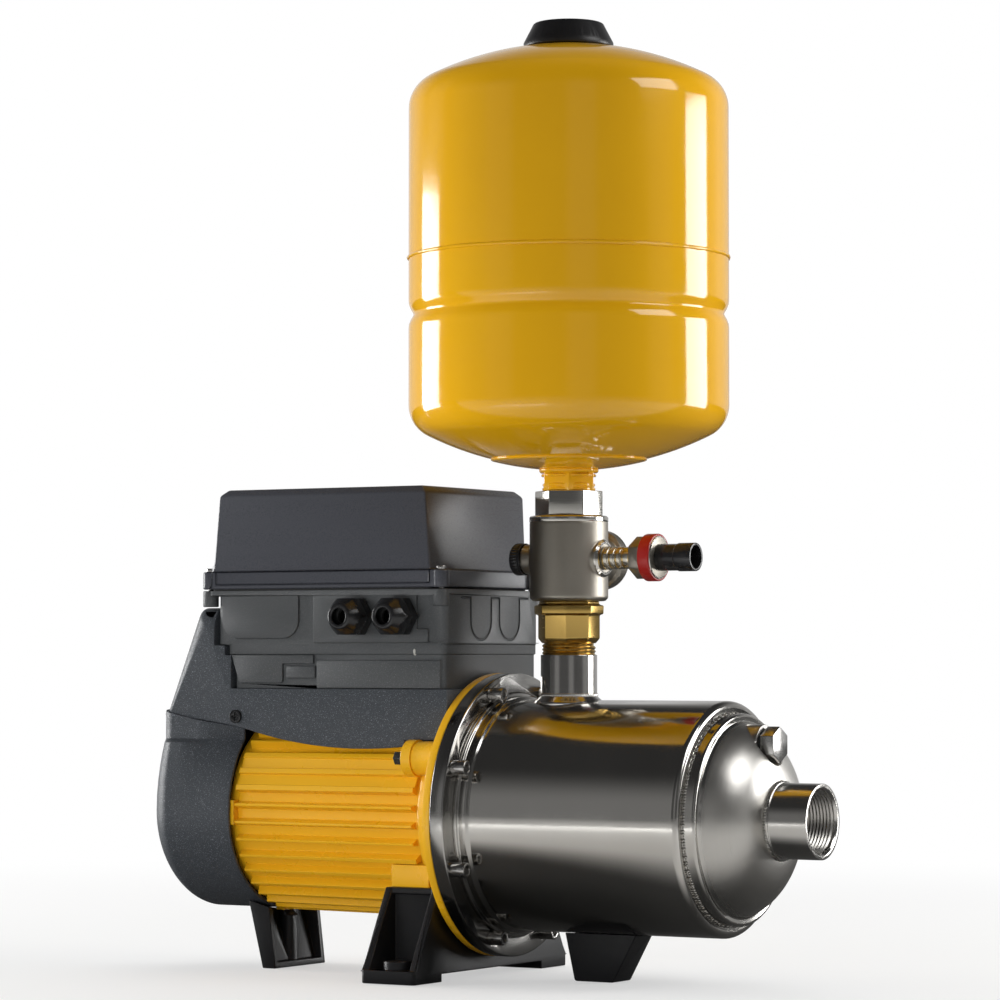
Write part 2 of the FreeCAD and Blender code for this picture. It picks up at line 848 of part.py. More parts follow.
def flat_vane(inner, outer, sweep, across, thickness):
    """The same vane with straight sides."""
    return [corner[:2] for corner in curved_vane(inner, outer, sweep, across, thickness)]


def stage_impeller(index):
    """A closed impeller: hub, back shroud, swept vanes and front shroud with its eye."""
    body = new_body(f"impeller_{index}", (f"column_x + stage_start + {index} * stage_pitch", "0", "axis_height"))
    back = "2.5"
    front = f"{back} + impeller_width"
    shaft = "pump_shaft_radius + running_gap"
    turned(
        body,
        [
            ("0", shaft),
            ("0", "impeller_hub_radius"),
            (back, "impeller_hub_radius"),
            (back, "impeller_radius"),
            (f"{back} + impeller_wall", "impeller_radius"),
            (f"{back} + impeller_wall", "impeller_hub_radius"),
            ("stage_pitch", "impeller_hub_radius"),
            ("stage_pitch", shaft),
        ],
    )
    turned(
        body,
        [
            (f"{front} - impeller_wall", "impeller_eye_radius"),
            (f"{front} - impeller_wall", "impeller_radius"),
            (front, "impeller_radius"),
            (front, "impeller_eye_radius + impeller_wall"),
            (f"{front} + 4", "impeller_eye_radius + impeller_wall"),
            (f"{front} + 4", "impeller_eye_radius"),
        ],
    )
    vane = extruded(
        body,
        "YZ_Plane",
        [curved_vane("(impeller_eye_radius + 4)", "impeller_radius - 0.5", 60, 178, "vane_thickness")],
        "impeller_width - impeller_wall",
        offset=f"{back} + impeller_wall / 2",
    )
    around(body, [vane], "X_Axis", "vane_count")
    return body


def stage_bowl(index):
    """A stage bowl: a cup round the impeller, with return vanes on its floor."""
    body = new_body(f"bowl_{index}", (f"column_x + stage_start + {index} * stage_pitch", "0", "axis_height"))
    floor = "2.5 + impeller_width + tip_gap"
    eye = "impeller_eye_radius + impeller_wall"
    turned(
        body,
        [
            (f"{floor}", f"{eye} + 0.5"),
            (f"{floor}", "stage_radius - stage_wall"),
            ("1.2", "stage_radius - stage_wall"),
            ("1.2", "stage_radius"),
            (f"{floor} + stage_wall", "stage_radius"),
            (f"{floor} + stage_wall", f"{eye} + 0.5"),
        ],
    )
    turned(
        body,
        [
            ("stage_pitch - 0.4", "impeller_hub_radius + 1"),
            ("stage_pitch - 0.4", "stage_radius - 4"),
            ("stage_pitch + 1.2", "stage_radius - 4"),
            ("stage_pitch + 1.2", "impeller_hub_radius + 1"),
        ],
    )
    vane = extruded(
        body,
        "YZ_Plane",
        [flat_vane(f"({eye} + 3)", "stage_radius - 4.5", 60, 175, "vane_thickness")],
        f"stage_pitch - ({floor}) - stage_wall / 2 - 0.2",
        offset=f"{floor} + stage_wall / 2",
    )
    around(body, [vane], "X_Axis", "return_vane_count")
    return body


def make_stages():
    count = int(SIZES["stage_count"])
    grouped("impellers", [stage_impeller(i) for i in range(count)])
    grouped("diffusers", [stage_bowl(i) for i in range(count)])
    end = "stage_start + stage_count * stage_pitch"
    plate = new_body("suction_plate")
    turned(
        plate,
        [
            (f"{end} + 1.2", "impeller_eye_radius + 0.5"),
            (f"{end} + 1.2", "sleeve_radius - casing_wall - fit_gap"),
            (f"{end} + 1.2 + suction_plate_thickness", "sleeve_radius - casing_wall - fit_gap"),
            (f"{end} + 1.2 + suction_plate_thickness", "impeller_eye_radius + 0.5"),
        ],
    )


# Motor: shaft line


def make_shaft():
    body = new_body("shaft")
    nose = "stage_start + stage_count * stage_pitch"
    bearing_front = "front_bearing_x + front_bearing_width"
    turned(
        body,
        [
            ("shaft_rear_x", "0"),
            ("shaft_rear_x", "rear_journal_radius"),
            ("rear_bearing_x + rear_bearing_width", "rear_journal_radius"),
            ("rear_bearing_x + rear_bearing_width", "motor_shaft_radius"),
            ("front_bearing_x", "motor_shaft_radius"),
            ("front_bearing_x", "front_journal_radius"),
            (bearing_front, "front_journal_radius"),
            (bearing_front, "pump_shaft_radius"),
            (f"{nose} + 10", "pump_shaft_radius"),
            (f"{nose} + 10", "0"),
        ],
    )
    at = (f"column_x + {nose}", "0", "axis_height")
    hex_nut = prism("nut_hex", "22", "7.5", at, "X")
    bore = cylinder("nut_bore", "pump_shaft_radius + running_gap", "7.5", at, "X")
    cut_away("impeller_nut", hex_nut, bore)


def bearing_ring(label, start, width, inner, outer):
    body = new_body(label)
    turned(
        body,
        [
            (start, inner),
            (start, outer),
            (f"{start} + {width}", outer),
            (f"{start} + {width}", inner),
        ],
    )
    return body


def make_bearings():
    """Two sealed ball bearings, each an outer and an inner ring."""
    split_front = "front_journal_radius + race_thickness"
    split_rear = "rear_journal_radius + race_thickness"
    grouped(
        "bearing_outer_rings",
        [
            bearing_ring(
                "front_outer_ring",
                "front_bearing_x",
                "front_bearing_width",
                f"{split_front} + running_gap",
                "front_bearing_radius",
            ),
            bearing_ring(
                "rear_outer_ring",
                "rear_bearing_x",
                "rear_bearing_width",
                f"{split_rear} + running_gap",
                "rear_bearing_radius",
            ),
        ],
    )
    grouped(
        "bearing_inner_rings",
        [
            bearing_ring(
                "front_inner_ring",
                "front_bearing_x",
                "front_bearing_width",
                "front_journal_radius + running_gap",
                split_front,
            ),
            bearing_ring(
                "rear_inner_ring",
                "rear_bearing_x",
                "rear_bearing_width",
                "rear_journal_radius + running_gap",
                split_rear,
            ),
        ],
    )


def make_rotor():
    bearing_ring(
        "rotor",
        "stator_front_x - stator_length",
        "stator_length",
        "motor_shaft_radius + running_gap",
        "stator_bore_radius - rotor_gap",
    )


def make_stator():
    """The laminated core with open slots, and the two winding heads that stand out of it."""
    body = new_body("stator_core")
    rear = "stator_front_x - stator_length"
    turned(
        body,
        [
            (rear, "stator_bore_radius"),
            (rear, "housing_bore_radius - fit_gap"),
            ("stator_front_x", "housing_bore_radius - fit_gap"),
            ("stator_front_x", "stator_bore_radius"),
        ],
    )
    slot = extruded(
        body,
        "YZ_Plane",
        [
            [
                ("0 - 1.2", "stator_bore_radius - 1"),
                ("1.2", "stator_bore_radius - 1"),
                ("2.8", "stator_bore_radius + 14"),
                ("0 - 2.8", "stator_bore_radius + 14"),
            ]
        ],
        "stator_length + 2",
        cut=True,
        offset=f"{rear} - 1",
        back=True,
    )
    around(body, [slot], "X_Axis", "slot_count")
    tie_bolt_holes(body, "stator_front_x + 1", f"{rear} - 1")
    heads = []
    for name, start in (
        ("front_winding", "stator_front_x"),
        ("rear_winding", f"{rear} - winding_reach"),
    ):
        head = new_body(name)
        low, high = "stator_bore_radius + 3", "stator_bore_radius + 17"
        turned(
            head,
            [
                (start, low),
                (start, high),
                (f"{start} + winding_reach", high),
                (f"{start} + winding_reach", low),
            ],
        )
        heads.append(head)
    grouped("windings", heads)


# Motor: housings


def make_bracket():
    """The cast bracket: flange ring, web, bearing hub and the spigot that enters the housing."""
    body = new_body("bracket_casting")
    ring_back = "flange_x - bracket_ring_depth"
    web_back = "flange_x - bracket_web"
    bearing_front = "front_bearing_x + front_bearing_width"
    turned(
        body,
        [
            ("flange_x", "front_journal_radius + 3"),
            ("flange_x", "flange_radius"),
            (ring_back, "flange_radius"),
            (ring_back, "fin_tip_front + 1"),
            ("housing_front_x", "fin_tip_front - 1.5"),
            ("housing_front_x", "housing_bore_radius - fit_gap"),
            ("housing_front_x - spigot_length", "housing_bore_radius - fit_gap"),
            ("housing_front_x - spigot_length", "housing_bore_radius - 5"),
            (web_back, "housing_bore_radius - 5"),
            (web_back, "bracket_hub_radius"),
            ("front_bearing_x", "bracket_hub_radius"),
            ("front_bearing_x", "front_bearing_radius + fit_gap"),
            (bearing_front, "front_bearing_radius + fit_gap"),
            (bearing_front, "front_journal_radius + 3"),
        ],
    )
    flange_holes(body, "flange_screw_radius + fit_gap")
    tie_bolt_holes(body, f"{web_back} + 1", "housing_front_x - 10")
    lugs = [
        cylinder(
            f"bracket_lug_{side + 1}",
            "lug_radius - 1",
            f"{ring_back} + 1 - housing_front_x",
            ("column_x + housing_front_x", f"{side} * lug_y", "axis_height + lug_z"),
            "X",
        )
        for side in (1, -1)
    ]
    holes = [
        cylinder(
            f"bracket_lug_hole_{side + 1}",
            "lug_screw_radius + fit_gap",
            "16",
            ("column_x + housing_front_x - 1", f"{side} * lug_y", "axis_height + lug_z"),
            "X",
        )
        for side in (1, -1)
    ]
    pockets = [
        block(
            f"foot_block_pocket_{side + 1}",
            "foot_block_length",
            "foot_block_width + 2 * fit_gap",
            "foot_block_height + 2 * fit_gap",
            (
                "column_x + housing_front_x - foot_block_length + foot_block_reach + fit_gap",
                f"{side} * foot_block_y - foot_block_width / 2 - fit_gap",
                "axis_height - foot_pad_height - fit_gap",
            ),
        )
        for side in (1, -1)
    ]
    spaces = joined("bracket_spaces", [*holes, *pockets])
    cut_away("motor_bracket", joined("bracket_with_lugs", [body, *lugs]), spaces)
    screws = []
    for side in (1, -1):
        seat = ("column_x + housing_front_x - lug_depth", f"{side} * lug_y", "axis_height + lug_z")
        head_at = ("column_x + housing_front_x - lug_depth - 4.5", *seat[1:])
        head = prism(f"lug_screw_head_{side + 1}", "lug_screw_flats", "4.5", head_at, "X")
        shank = cylinder(f"lug_screw_shank_{side + 1}", "lug_screw_radius", "lug_depth + 14", seat, "X")
        screws.append(joined(f"lug_screw_{side + 1}", [head, shank]))
    grouped("bracket_screws", screws)


def tie_bolt_holes(body, high, low):
    """The four holes through which the long tie bolts pass, between two places on the shaft."""
    angle = "180 / tie_bolt_count"
    at = (f"tie_bolt_circle * sin({angle})", f"tie_bolt_circle * cos({angle})")
    hole = extruded(
        body,
        "YZ_Plane",
        [(*at, "tie_bolt_radius + fit_gap")],
        f"({high}) - ({low})",
        cut=True,
        offset=low,
        back=True,
    )
    around(body, [hole], "X_Axis", "tie_bolt_count")


def fin_corners():
    """The cross-section of one cooling fin, standing on the barrel."""
    root, tip = "housing_root_radius - 1", "fin_tip_front"
    return [
        ("0 - fin_root_width / 2", root),
        ("fin_root_width / 2", root),
        ("fin_tip_width / 2", tip),
        ("0 - fin_tip_width / 2", tip),
    ]


def make_housing():
    """The finned barrel that holds the stator, with its smooth side pads and lugs."""
    body = new_body("housing_barrel")
    rear = "housing_front_x - housing_length"
    turned(
        body,
        [
            (rear, "housing_bore_radius"),
            (rear, "housing_root_radius"),
            ("housing_front_x", "housing_root_radius"),
            ("housing_front_x", "housing_bore_radius"),
        ],
    )
    sketch = new_sketch(body, "YZ_Plane", rear)
    outline(sketch, fin_corners())
    sketch.setExpression("AttachmentOffset.Rotation.Angle", bound("fin_first_angle"))
    fin = body.newObject("PartDesign::Pad", "CoolingFin")
    fin.Profile = sketch
    bind(fin, Length="housing_length - 4")
    around(body, [fin], "X_Axis", "fin_count")
    taper = new_body("housing_taper")
    turned(
        taper,
        [
            (f"{rear} - 1", "0"),
            (f"{rear} - 1", "fin_tip_rear"),
            ("housing_front_x + 1", "fin_tip_front"),
            ("housing_front_x + 1", "0"),
        ],
    )
    trimmed = doc.addObject("Part::Common", "housing_trimmed")
    trimmed.Base, trimmed.Tool = body, taper
    extras = [pad_sector(side, rear) for side in (1, -1)]
    extras += [bolt_lug(side) for side in (1, -1)]
    extras += [foot_block(side) for side in (1, -1)]
    bore = cylinder(
        "housing_bore",
        "housing_bore_radius",
        "2 * housing_length",
        (f"column_x + {rear} - housing_length / 2", "0", "axis_height"),
        "X",
    )
    screw_holes = [
        cylinder(f"foot_block_hole_{side + 1}", "foot_screw_radius + fit_gap", "9", foot_screw_at(side, "0 - 0.5"))
        for side in (1, -1)
    ]
    cut_away(
        "motor_housing",
        joined("housing_with_pads", [trimmed, *extras]),
        joined("housing_holes", [bore, *screw_holes]),
    )


def pad_sector(side, rear):
    """The smooth pad on each flank between two fins, from 16 to 34 degrees up."""
    body = new_body("flank_pad_left" if side > 0 else "flank_pad_right")
    inner, outer = "housing_root_radius - 1", "fin_tip_rear - 0.3"
    extruded(
        body,
        "YZ_Plane",
        [
            [
                (f"0 - {side} * ({inner}) * cos(16)", f"({inner}) * sin(16)"),
                (f"0 - {side} * ({outer}) * cos(16)", f"({outer}) * sin(16)", "bow", f"0 - {side} * ({outer})"),
                (f"0 - {side} * ({outer}) * cos(34)", f"({outer}) * sin(34)"),
                (f"0 - {side} * ({inner}) * cos(34)", f"({inner}) * sin(34)"),
            ]
        ],
        "housing_length - 4",
        offset=rear,
    )
    return body


def bolt_lug(side):
    """The round lug on each flank that a screw holds against the bracket."""
    at = ("column_x + housing_front_x - lug_depth", f"{side} * lug_y", "axis_height + lug_z")
    lug = cylinder(f"bolt_lug_{side + 1}", "lug_radius", "lug_depth", at, "X")
    hole = cylinder(f"bolt_lug_hole_{side + 1}", "lug_screw_radius + fit_gap", "lug_depth", at, "X")
    return cut_away(f"bolt_lug_drilled_{side + 1}", lug, hole)


def foot_block(side):
    """The cast block on each flank that stands on the main foot."""
    at = (
        "column_x + housing_front_x - foot_block_length + foot_block_reach",
        f"{side} * foot_block_y - foot_block_width / 2",
        "axis_height - foot_pad_height",
    )
    return block(f"foot_block_{side + 1}", "foot_block_length", "foot_block_width", "foot_block_height", at)


def foot_screw_at(side, rise):
    """A point on the axis of the screw under a foot block, so far above the foot's pad."""
    return (
        "column_x + housing_front_x - 10",
        f"{side} * foot_block_y",
        f"axis_height - foot_pad_height + ({rise})",
    )


def make_end_shield():
    body = new_body("end_shield")
    rear = "housing_front_x - housing_length"
    lug_tip = "cowl_radius - cowl_wall - seat_gap"
    hub = "rear_bearing_radius + 5"
    turned(
        body,
        [
            (f"{rear} - end_shield_thickness - 2", "rear_journal_radius + 2"),
            (f"{rear} - end_shield_thickness - 2", hub),
            (f"{rear} - end_shield_thickness", hub),
            (f"{rear} - end_shield_thickness", "housing_root_radius"),
            (rear, "housing_root_radius"),
            (rear, "housing_bore_radius - fit_gap"),
            (f"{rear} + spigot_length", "housing_bore_radius - fit_gap"),
            (f"{rear} + spigot_length", "housing_bore_radius - 4"),
            (rear, "housing_bore_radius - 4"),
            (rear, hub),
            ("rear_bearing_x + rear_bearing_width", hub),
            ("rear_bearing_x + rear_bearing_width", "rear_bearing_radius + fit_gap"),
            ("rear_bearing_x", "rear_bearing_radius + fit_gap"),
            ("rear_bearing_x", "rear_journal_radius + 2"),
        ],
    )
    tie_bolt_holes(body, f"{rear} + 2 * spigot_length", f"{rear} - 2 * end_shield_thickness")
    lug = extruded(
        body,
        "YZ_Plane",
        [rectangle("0 - 8", "8", "housing_root_radius - 3", f"sqrt(({lug_tip}) ^ 2 - 64)")],
        "end_shield_thickness",
        offset=f"{rear} - end_shield_thickness",
    )
    around(body, [lug], "X_Axis", "4")


def make_fan():
    """A radial fan: hub, back disc and straight blades with swept roots."""
    body = new_body("cooling_fan")
    turned(
        body,
        [
            ("fan_x", "rear_journal_radius + running_gap"),
            ("fan_x", "fan_hub_radius"),
            ("fan_x + fan_width - 3", "fan_hub_radius + 3"),
            ("fan_x + fan_width - 3", "fan_radius"),
            ("fan_x + fan_width - 1", "fan_radius"),
            ("fan_x + fan_width - 1", "rear_journal_radius + running_gap"),
        ],
    )
    blade = extruded(
        body,
        "YZ_Plane",
        [curved_vane("fan_hub_radius - 2", "fan_radius - 0.5", 22, 118, "fan_blade_thickness")],
        "fan_width - 4",
        offset="fan_x + 2",
    )
    around(body, [blade], "X_Axis", "fan_blade_count")


def seam_cut():
    """Everything above the sloping seam between the two cowls."""
    body = new_body("above_seam")
    high = "cowl_seam_rear + 60"
    corners = [
        ("cowl_rear_x - 10", "cowl_seam_rear"),
        ("cowl_rear_x", "cowl_seam_rear"),
        ("cowl_rim_x", "cowl_seam_front"),
        ("cowl_rim_x + 10", "cowl_seam_front"),
        ("cowl_rim_x + 10", high),
        ("cowl_rear_x - 10", high),
    ]
    extruded(body, "XZ_Plane", [corners], "4 * cowl_radius", both_ways=True)
    return body


def cowl_solid(label, radius, start, length, edge_round):
    """A closed form of the cowl's section with a rounded back edge."""
    body = new_body(label)
    top = "cowl_seam_rear + 8"
    section = [
        (f"0 - ({radius})", top),
        (f"0 - ({radius})", "0", "bow", f"0 - ({radius})"),
        ("0", f"0 - ({radius})", "bow", f"0 - ({radius})"),
        (radius, "0"),
        (radius, top),
    ]
    extruded(body, "YZ_Plane", [section], length, offset=start)
    back, lip = size(start), size(top)
    rounded(
        body, edge_round, lambda edge: abs(middle_of(edge).x - back) < 0.01 and middle_of(edge).z < lip - 1
    )
    return body


def make_fan_cowl():
    """The moulded cowl behind the motor, with a grille of slots in its back."""
    outside = cowl_solid("cowl_outside", "cowl_radius", "cowl_rear_x", "cowl_rim_x - cowl_rear_x", "cowl_round")
    hollow = cowl_solid(
        "cowl_hollow",
        "cowl_radius - cowl_wall",
        "cowl_rear_x + cowl_wall",
        "cowl_rim_x - cowl_rear_x + 10",
        "cowl_round - cowl_wall",
    )
    slots = [
        block(
            f"grille_slot_{k}",
            "4 * cowl_wall",
            "3 * grille_radius",
            "grille_slot",
            (
                "column_x + cowl_rear_x - 2 * cowl_wall",
                "0 - 1.5 * grille_radius",
                f"axis_height + {k} * grille_pitch - grille_slot / 2",
            ),
        )
        for k in range(-4, 5)
    ]
    disc = cylinder(
        "grille_disc",
        "grille_radius",
        "4 * cowl_wall",
        ("column_x + cowl_rear_x - 2 * cowl_wall", "0", "axis_height"),
        "X",
    )
    bar = block(
        "grille_bar",
        "4 * cowl_wall",
        "grille_slot",
        "3 * grille_radius",
        ("column_x + cowl_rear_x - 2 * cowl_wall", "0 - grille_slot / 2", "axis_height - 1.5 * grille_radius"),
    )
    grille = doc.addObject("Part::Common", "grille_openings")
    grille.Base, grille.Tool = grouped("grille_slots", slots), disc
    openings = cut_away("grille_with_bar", grille, bar)
    cut_away("fan_cowl", outside, joined("cowl_cuts", [hollow, seam_cut(), openings]))


def seam_at(x):
    """The height of the seam between the cowls at a place on the shaft."""
    fall = "(cowl_seam_rear - cowl_seam_front) / (cowl_rim_x - cowl_rear_x)"
    return f"(cowl_seam_rear - (({x}) - cowl_rear_x) * {fall})"


def shroud_steps(inset):
    """The stepped back of the upper cowl, which follows the controller's box down to the deck."""
    return [
        (f"tub_rear_x - 1.5 - {inset}", f"shroud_top - {inset}"),
        (f"tub_rear_x - 1.5 - {inset}", f"tub_low - 0.5 - {inset}"),
        (f"neck_rear_x - 1 - {inset}", f"tub_low - 0.5 - {inset}"),
        (f"neck_rear_x - 1 - {inset}", f"neck_low - 0.5 - {inset}"),
        (f"base_foot_rear_x - 1 - {inset}", f"neck_low - 0.5 - {inset}"),
        (f"base_foot_rear_x - 1 - {inset}", f"shroud_deck - {inset}"),
        (f"shroud_front_x - {inset}", f"shroud_deck - {inset}"),
    ]


def make_upper_cowl():
    """The moulded shroud that carries the controller and closes the fan cowl's top."""
    outside = new_body("shroud_outside")
    corners = [
        ("shroud_foot_x", f"{seam_at('shroud_foot_x')} + seat_gap"),
        ("shroud_top_x", "shroud_top", "round", "4"),
        *shroud_steps("0"),
        ("shroud_front_x", "shroud_low_front", "bow", "shroud_low_bow"),
        ("cowl_rim_x", "cowl_seam_front + seat_gap"),
    ]
    extruded(outside, "XZ_Plane", [corners], "2 * shroud_half_width", both_ways=True)
    rear = size("(shroud_foot_x + shroud_top_x) / 2")
    rounded(
        outside,
        "shroud_round",
        lambda edge: abs(middle_of(edge).x - rear) < 3 and abs(middle_of(edge).y) > 1 and edge.Length > 20,
    )
    inside = new_body("shroud_inside")
    lean = "(shroud_top_x - shroud_foot_x) / (shroud_top - cowl_seam_rear)"
    corners = [
        (f"shroud_foot_x + shroud_wall * 1.1 - 30 * {lean}", "cowl_seam_rear - 32"),
        (f"shroud_top_x + shroud_wall * 1.1 - shroud_wall * {lean}", "shroud_top - shroud_wall"),
        *shroud_steps("shroud_wall"),
        ("shroud_front_x - shroud_wall", "cowl_seam_rear - 32"),
    ]
    inner = "shroud_half_width - shroud_wall"
    extruded(inside, "XZ_Plane", [corners], f"2 * ({inner})", both_ways=True)
    rounded(
        inside,
        "shroud_round - shroud_wall",
        lambda edge: middle_of(edge).x < rear + 20 and abs(middle_of(edge).y) > 1 and edge.Length > 60,
    )
    motor = cylinder(
        "motor_clearance",
        "fin_tip_front + 1 + seat_gap",
        "300",
        ("column_x - 300 + shroud_front_x + 20", "0", "axis_height"),
        "X",
    )
    lugs = [
        cylinder(
            f"lug_clearance_{side + 1}",
            "lug_radius + seat_gap",
            "60",
            ("column_x + housing_front_x - 14", f"{side} * lug_y", "axis_height + lug_z"),
            "X",
        )
        for side in (1, -1)
    ]
    cut_away("upper_cowl", outside, joined("shroud_cuts", [inside, motor, *lugs]))
    screws = []
    for side in (1, -1):
        edge = f"{side} * shroud_half_width"
        start = edge if side > 0 else f"{edge} - cowl_screw_rise"
        at = ("column_x + cowl_screw_x", start, "axis_height + cowl_screw_z")
        screws.append(cylinder(f"cowl_screw_{side + 1}", "cowl_screw_radius", "cowl_screw_rise", at, "Y"))
    grouped("cowl_screws", screws)


# Controller


def rounded_box(label, x_low, x_high, half_width, z_low, z_high, corner, at=CROSSING):
    """A block with rounded upright corners, on the shaft's mid-plane."""
    body = new_body(label, at)
    corners = [
        (x_low, f"0 - ({half_width})", "round", corner),
        (x_high, f"0 - ({half_width})", "round", corner),
        (x_high, half_width, "round", corner),
        (x_low, half_width, "round", corner),
    ]
    extruded(body, "XY_Plane", [corners], f"({z_high}) - ({z_low})", offset=z_low)
    return body


EAR_CORNERS = [(along, side) for along in ("ear_rear_x", "ear_front_x") for side in (1, -1)]


def ears(name, radius, low, length):
    """A round column at each of the box's four screw corners."""
    return [
        cylinder(f"{name}_{k}", radius, length, (f"column_x + {along}", f"{side} * ear_y", f"axis_height + {low}"))
        for k, (along, side) in enumerate(EAR_CORNERS)
    ]


BOARD_POSTS = [(x, side) for x in ("base_foot_rear_x + 20", "base_foot_front_x - 20") for side in (1, -1)]


def make_controller_base():
    """The lower half of the controller's box, stepped in towards the motor."""
    flange_low = "seam_height - rim_height"
    rim = rounded_box("base_rim", "rim_rear_x", "rim_front_x", "rim_half_width", flange_low, "seam_height", "5")
    tub = rounded_box(
        "base_tub", "tub_rear_x", "tub_front_x", "tub_half_width", "tub_low", f"{flange_low} + 1", "5"
    )
    neck = rounded_box(
        "base_neck", "neck_rear_x", "neck_front_x", "tub_half_width", "neck_low", "tub_low + 1", "4"
    )
    foot = rounded_box(
        "base_foot",
        "base_foot_rear_x",
        "base_foot_front_x",
        "base_foot_half_width",
        "shroud_deck",
        "neck_low + 1",
        "4",
    )
    columns = ears("base_ear", "ear_radius", "seam_height - base_ear_height", "base_ear_height")
    plates = front_plates()
    upper = rounded_box(
        "tub_space",
        "tub_rear_x + box_wall",
        "tub_front_x - box_wall",
        "tub_half_width - box_wall",
        "tub_low - 3",
        flange_low,
        "3",
    )
    mouth = rounded_box(
        "tub_mouth",
        "tub_rear_x + box_wall",
        "lid_low_front_x - box_wall",
        "tub_half_width - box_wall",
        f"{flange_low} - 1",
        "seam_height + 1",
        "3",
    )
    lower = rounded_box(
        "foot_space",
        "base_foot_rear_x + box_wall",
        "base_foot_front_x - box_wall",
        "base_foot_half_width - box_wall",
        "shroud_deck + box_wall",
        "tub_low - 2",
        "2",
    )
    holes = [
        cylinder(
            f"gland_hole_{k}",
            "gland_thread_radius + fit_gap",
            "20",
            (f"column_x + gland_first_x + {k} * gland_spacing", "0 - tub_half_width - 10", "axis_height + gland_height"),
            "Y",
        )
        for k in range(2)
    ]
    threads = ears(
        "base_screw_hole", "ear_screw_radius + fit_gap", "seam_height - base_ear_height + 2", "base_ear_height"
    )
    floor = "shroud_deck + box_wall"
    posts = [
        cylinder(
            f"board_post_{k}",
            "board_post_radius",
            f"board_height - ({floor}) + 1",
            (f"column_x + {x}", f"{side} * 40", f"axis_height + {floor} - 1"),
        )
        for k, (x, side) in enumerate(BOARD_POSTS)
    ]
    shell = cut_away(
        "base_shell",
        joined("base_solid", [rim, tub, neck, foot, *columns, *plates]),
        joined("base_space", [upper, mouth, lower, *holes, *threads]),
    )
    joined("controller_base", [shell, *posts])


def front_plates():
    """The raised fields on the front of the box: flap, gland panel, lower flap and lower panel."""
    high = "seam_height - rim_height"
    upper = new_body("front_fields")
    extruded(
        upper,
        "XZ_Plane",
        [
            [
                ("0 - 228.8", "113.8", "round", "12"),
                ("0 - 168.6", "113.8", "round", "12"),
                ("0 - 168.6", high),
                ("0 - 228.8", high),
            ],
            [
                ("0 - 157", "tub_low + 1"),
                ("0 - 69", "tub_low + 1"),
                ("0 - 69", "gland_height - 8"),
                ("0 - 77.5", "gland_height - 8"),
                ("0 - 77.5", high),
                ("0 - 157", high),
            ],
        ],
        "plate_rise + 1",
        offset="tub_half_width - 1",
    )
    lower = new_body("lower_fields")
    extruded(
        lower,
        "XZ_Plane",
        [
            [
                ("0 - 222", "neck_low - 0.5"),
                ("0 - 216", "84.7", "round", "3"),
                ("0 - 181.6", "84.7", "round", "2"),
                ("0 - 181.6", "97.2"),
                ("0 - 157.5", "97.2"),
                ("0 - 157.5", "neck_low - 0.5"),
            ],
            rectangle("0 - 178.6", "0 - 156.2", "87.9", "95.6"),
            rectangle("0 - 154.7", "base_foot_front_x - 2", "shroud_deck + 0.5", "99.4"),
        ],
        "plate_rise + 1",
        offset="base_foot_half_width - 1",
    )
    return [upper, lower]


def wedge(name, low, z_low, high, z_high):
    """A block that narrows upwards; low and high are each (rear, front, half width)."""
    shape = doc.addObject("Part::Wedge", name)
    bind(shape, Xmin=low[0], Xmax=low[1], Zmin=f"0 - ({low[2]})", Zmax=low[2], Ymin=z_low, Ymax=z_high)
    bind(shape, X2min=high[0], X2max=high[1], Z2min=f"0 - ({high[2]})", Z2max=high[2])
    return place(shape, CROSSING, ((1, 0, 0), 90))


def lid_section(share, inset):
    """The lid's section at a share of its height, with its sides moved inwards."""
    sides = []
    for low, high in (
        ("lid_low_rear_x", "lid_top_rear_x"),
        ("lid_low_front_x", "lid_top_front_x"),
        ("lid_low_half_width", "lid_top_half_width"),
    ):
        sides.append(f"({low} + ({high} - {low}) * ({share}))")
    return f"{sides[0]} + ({inset})", f"{sides[1]} - ({inset})", f"{sides[2]} - ({inset})"


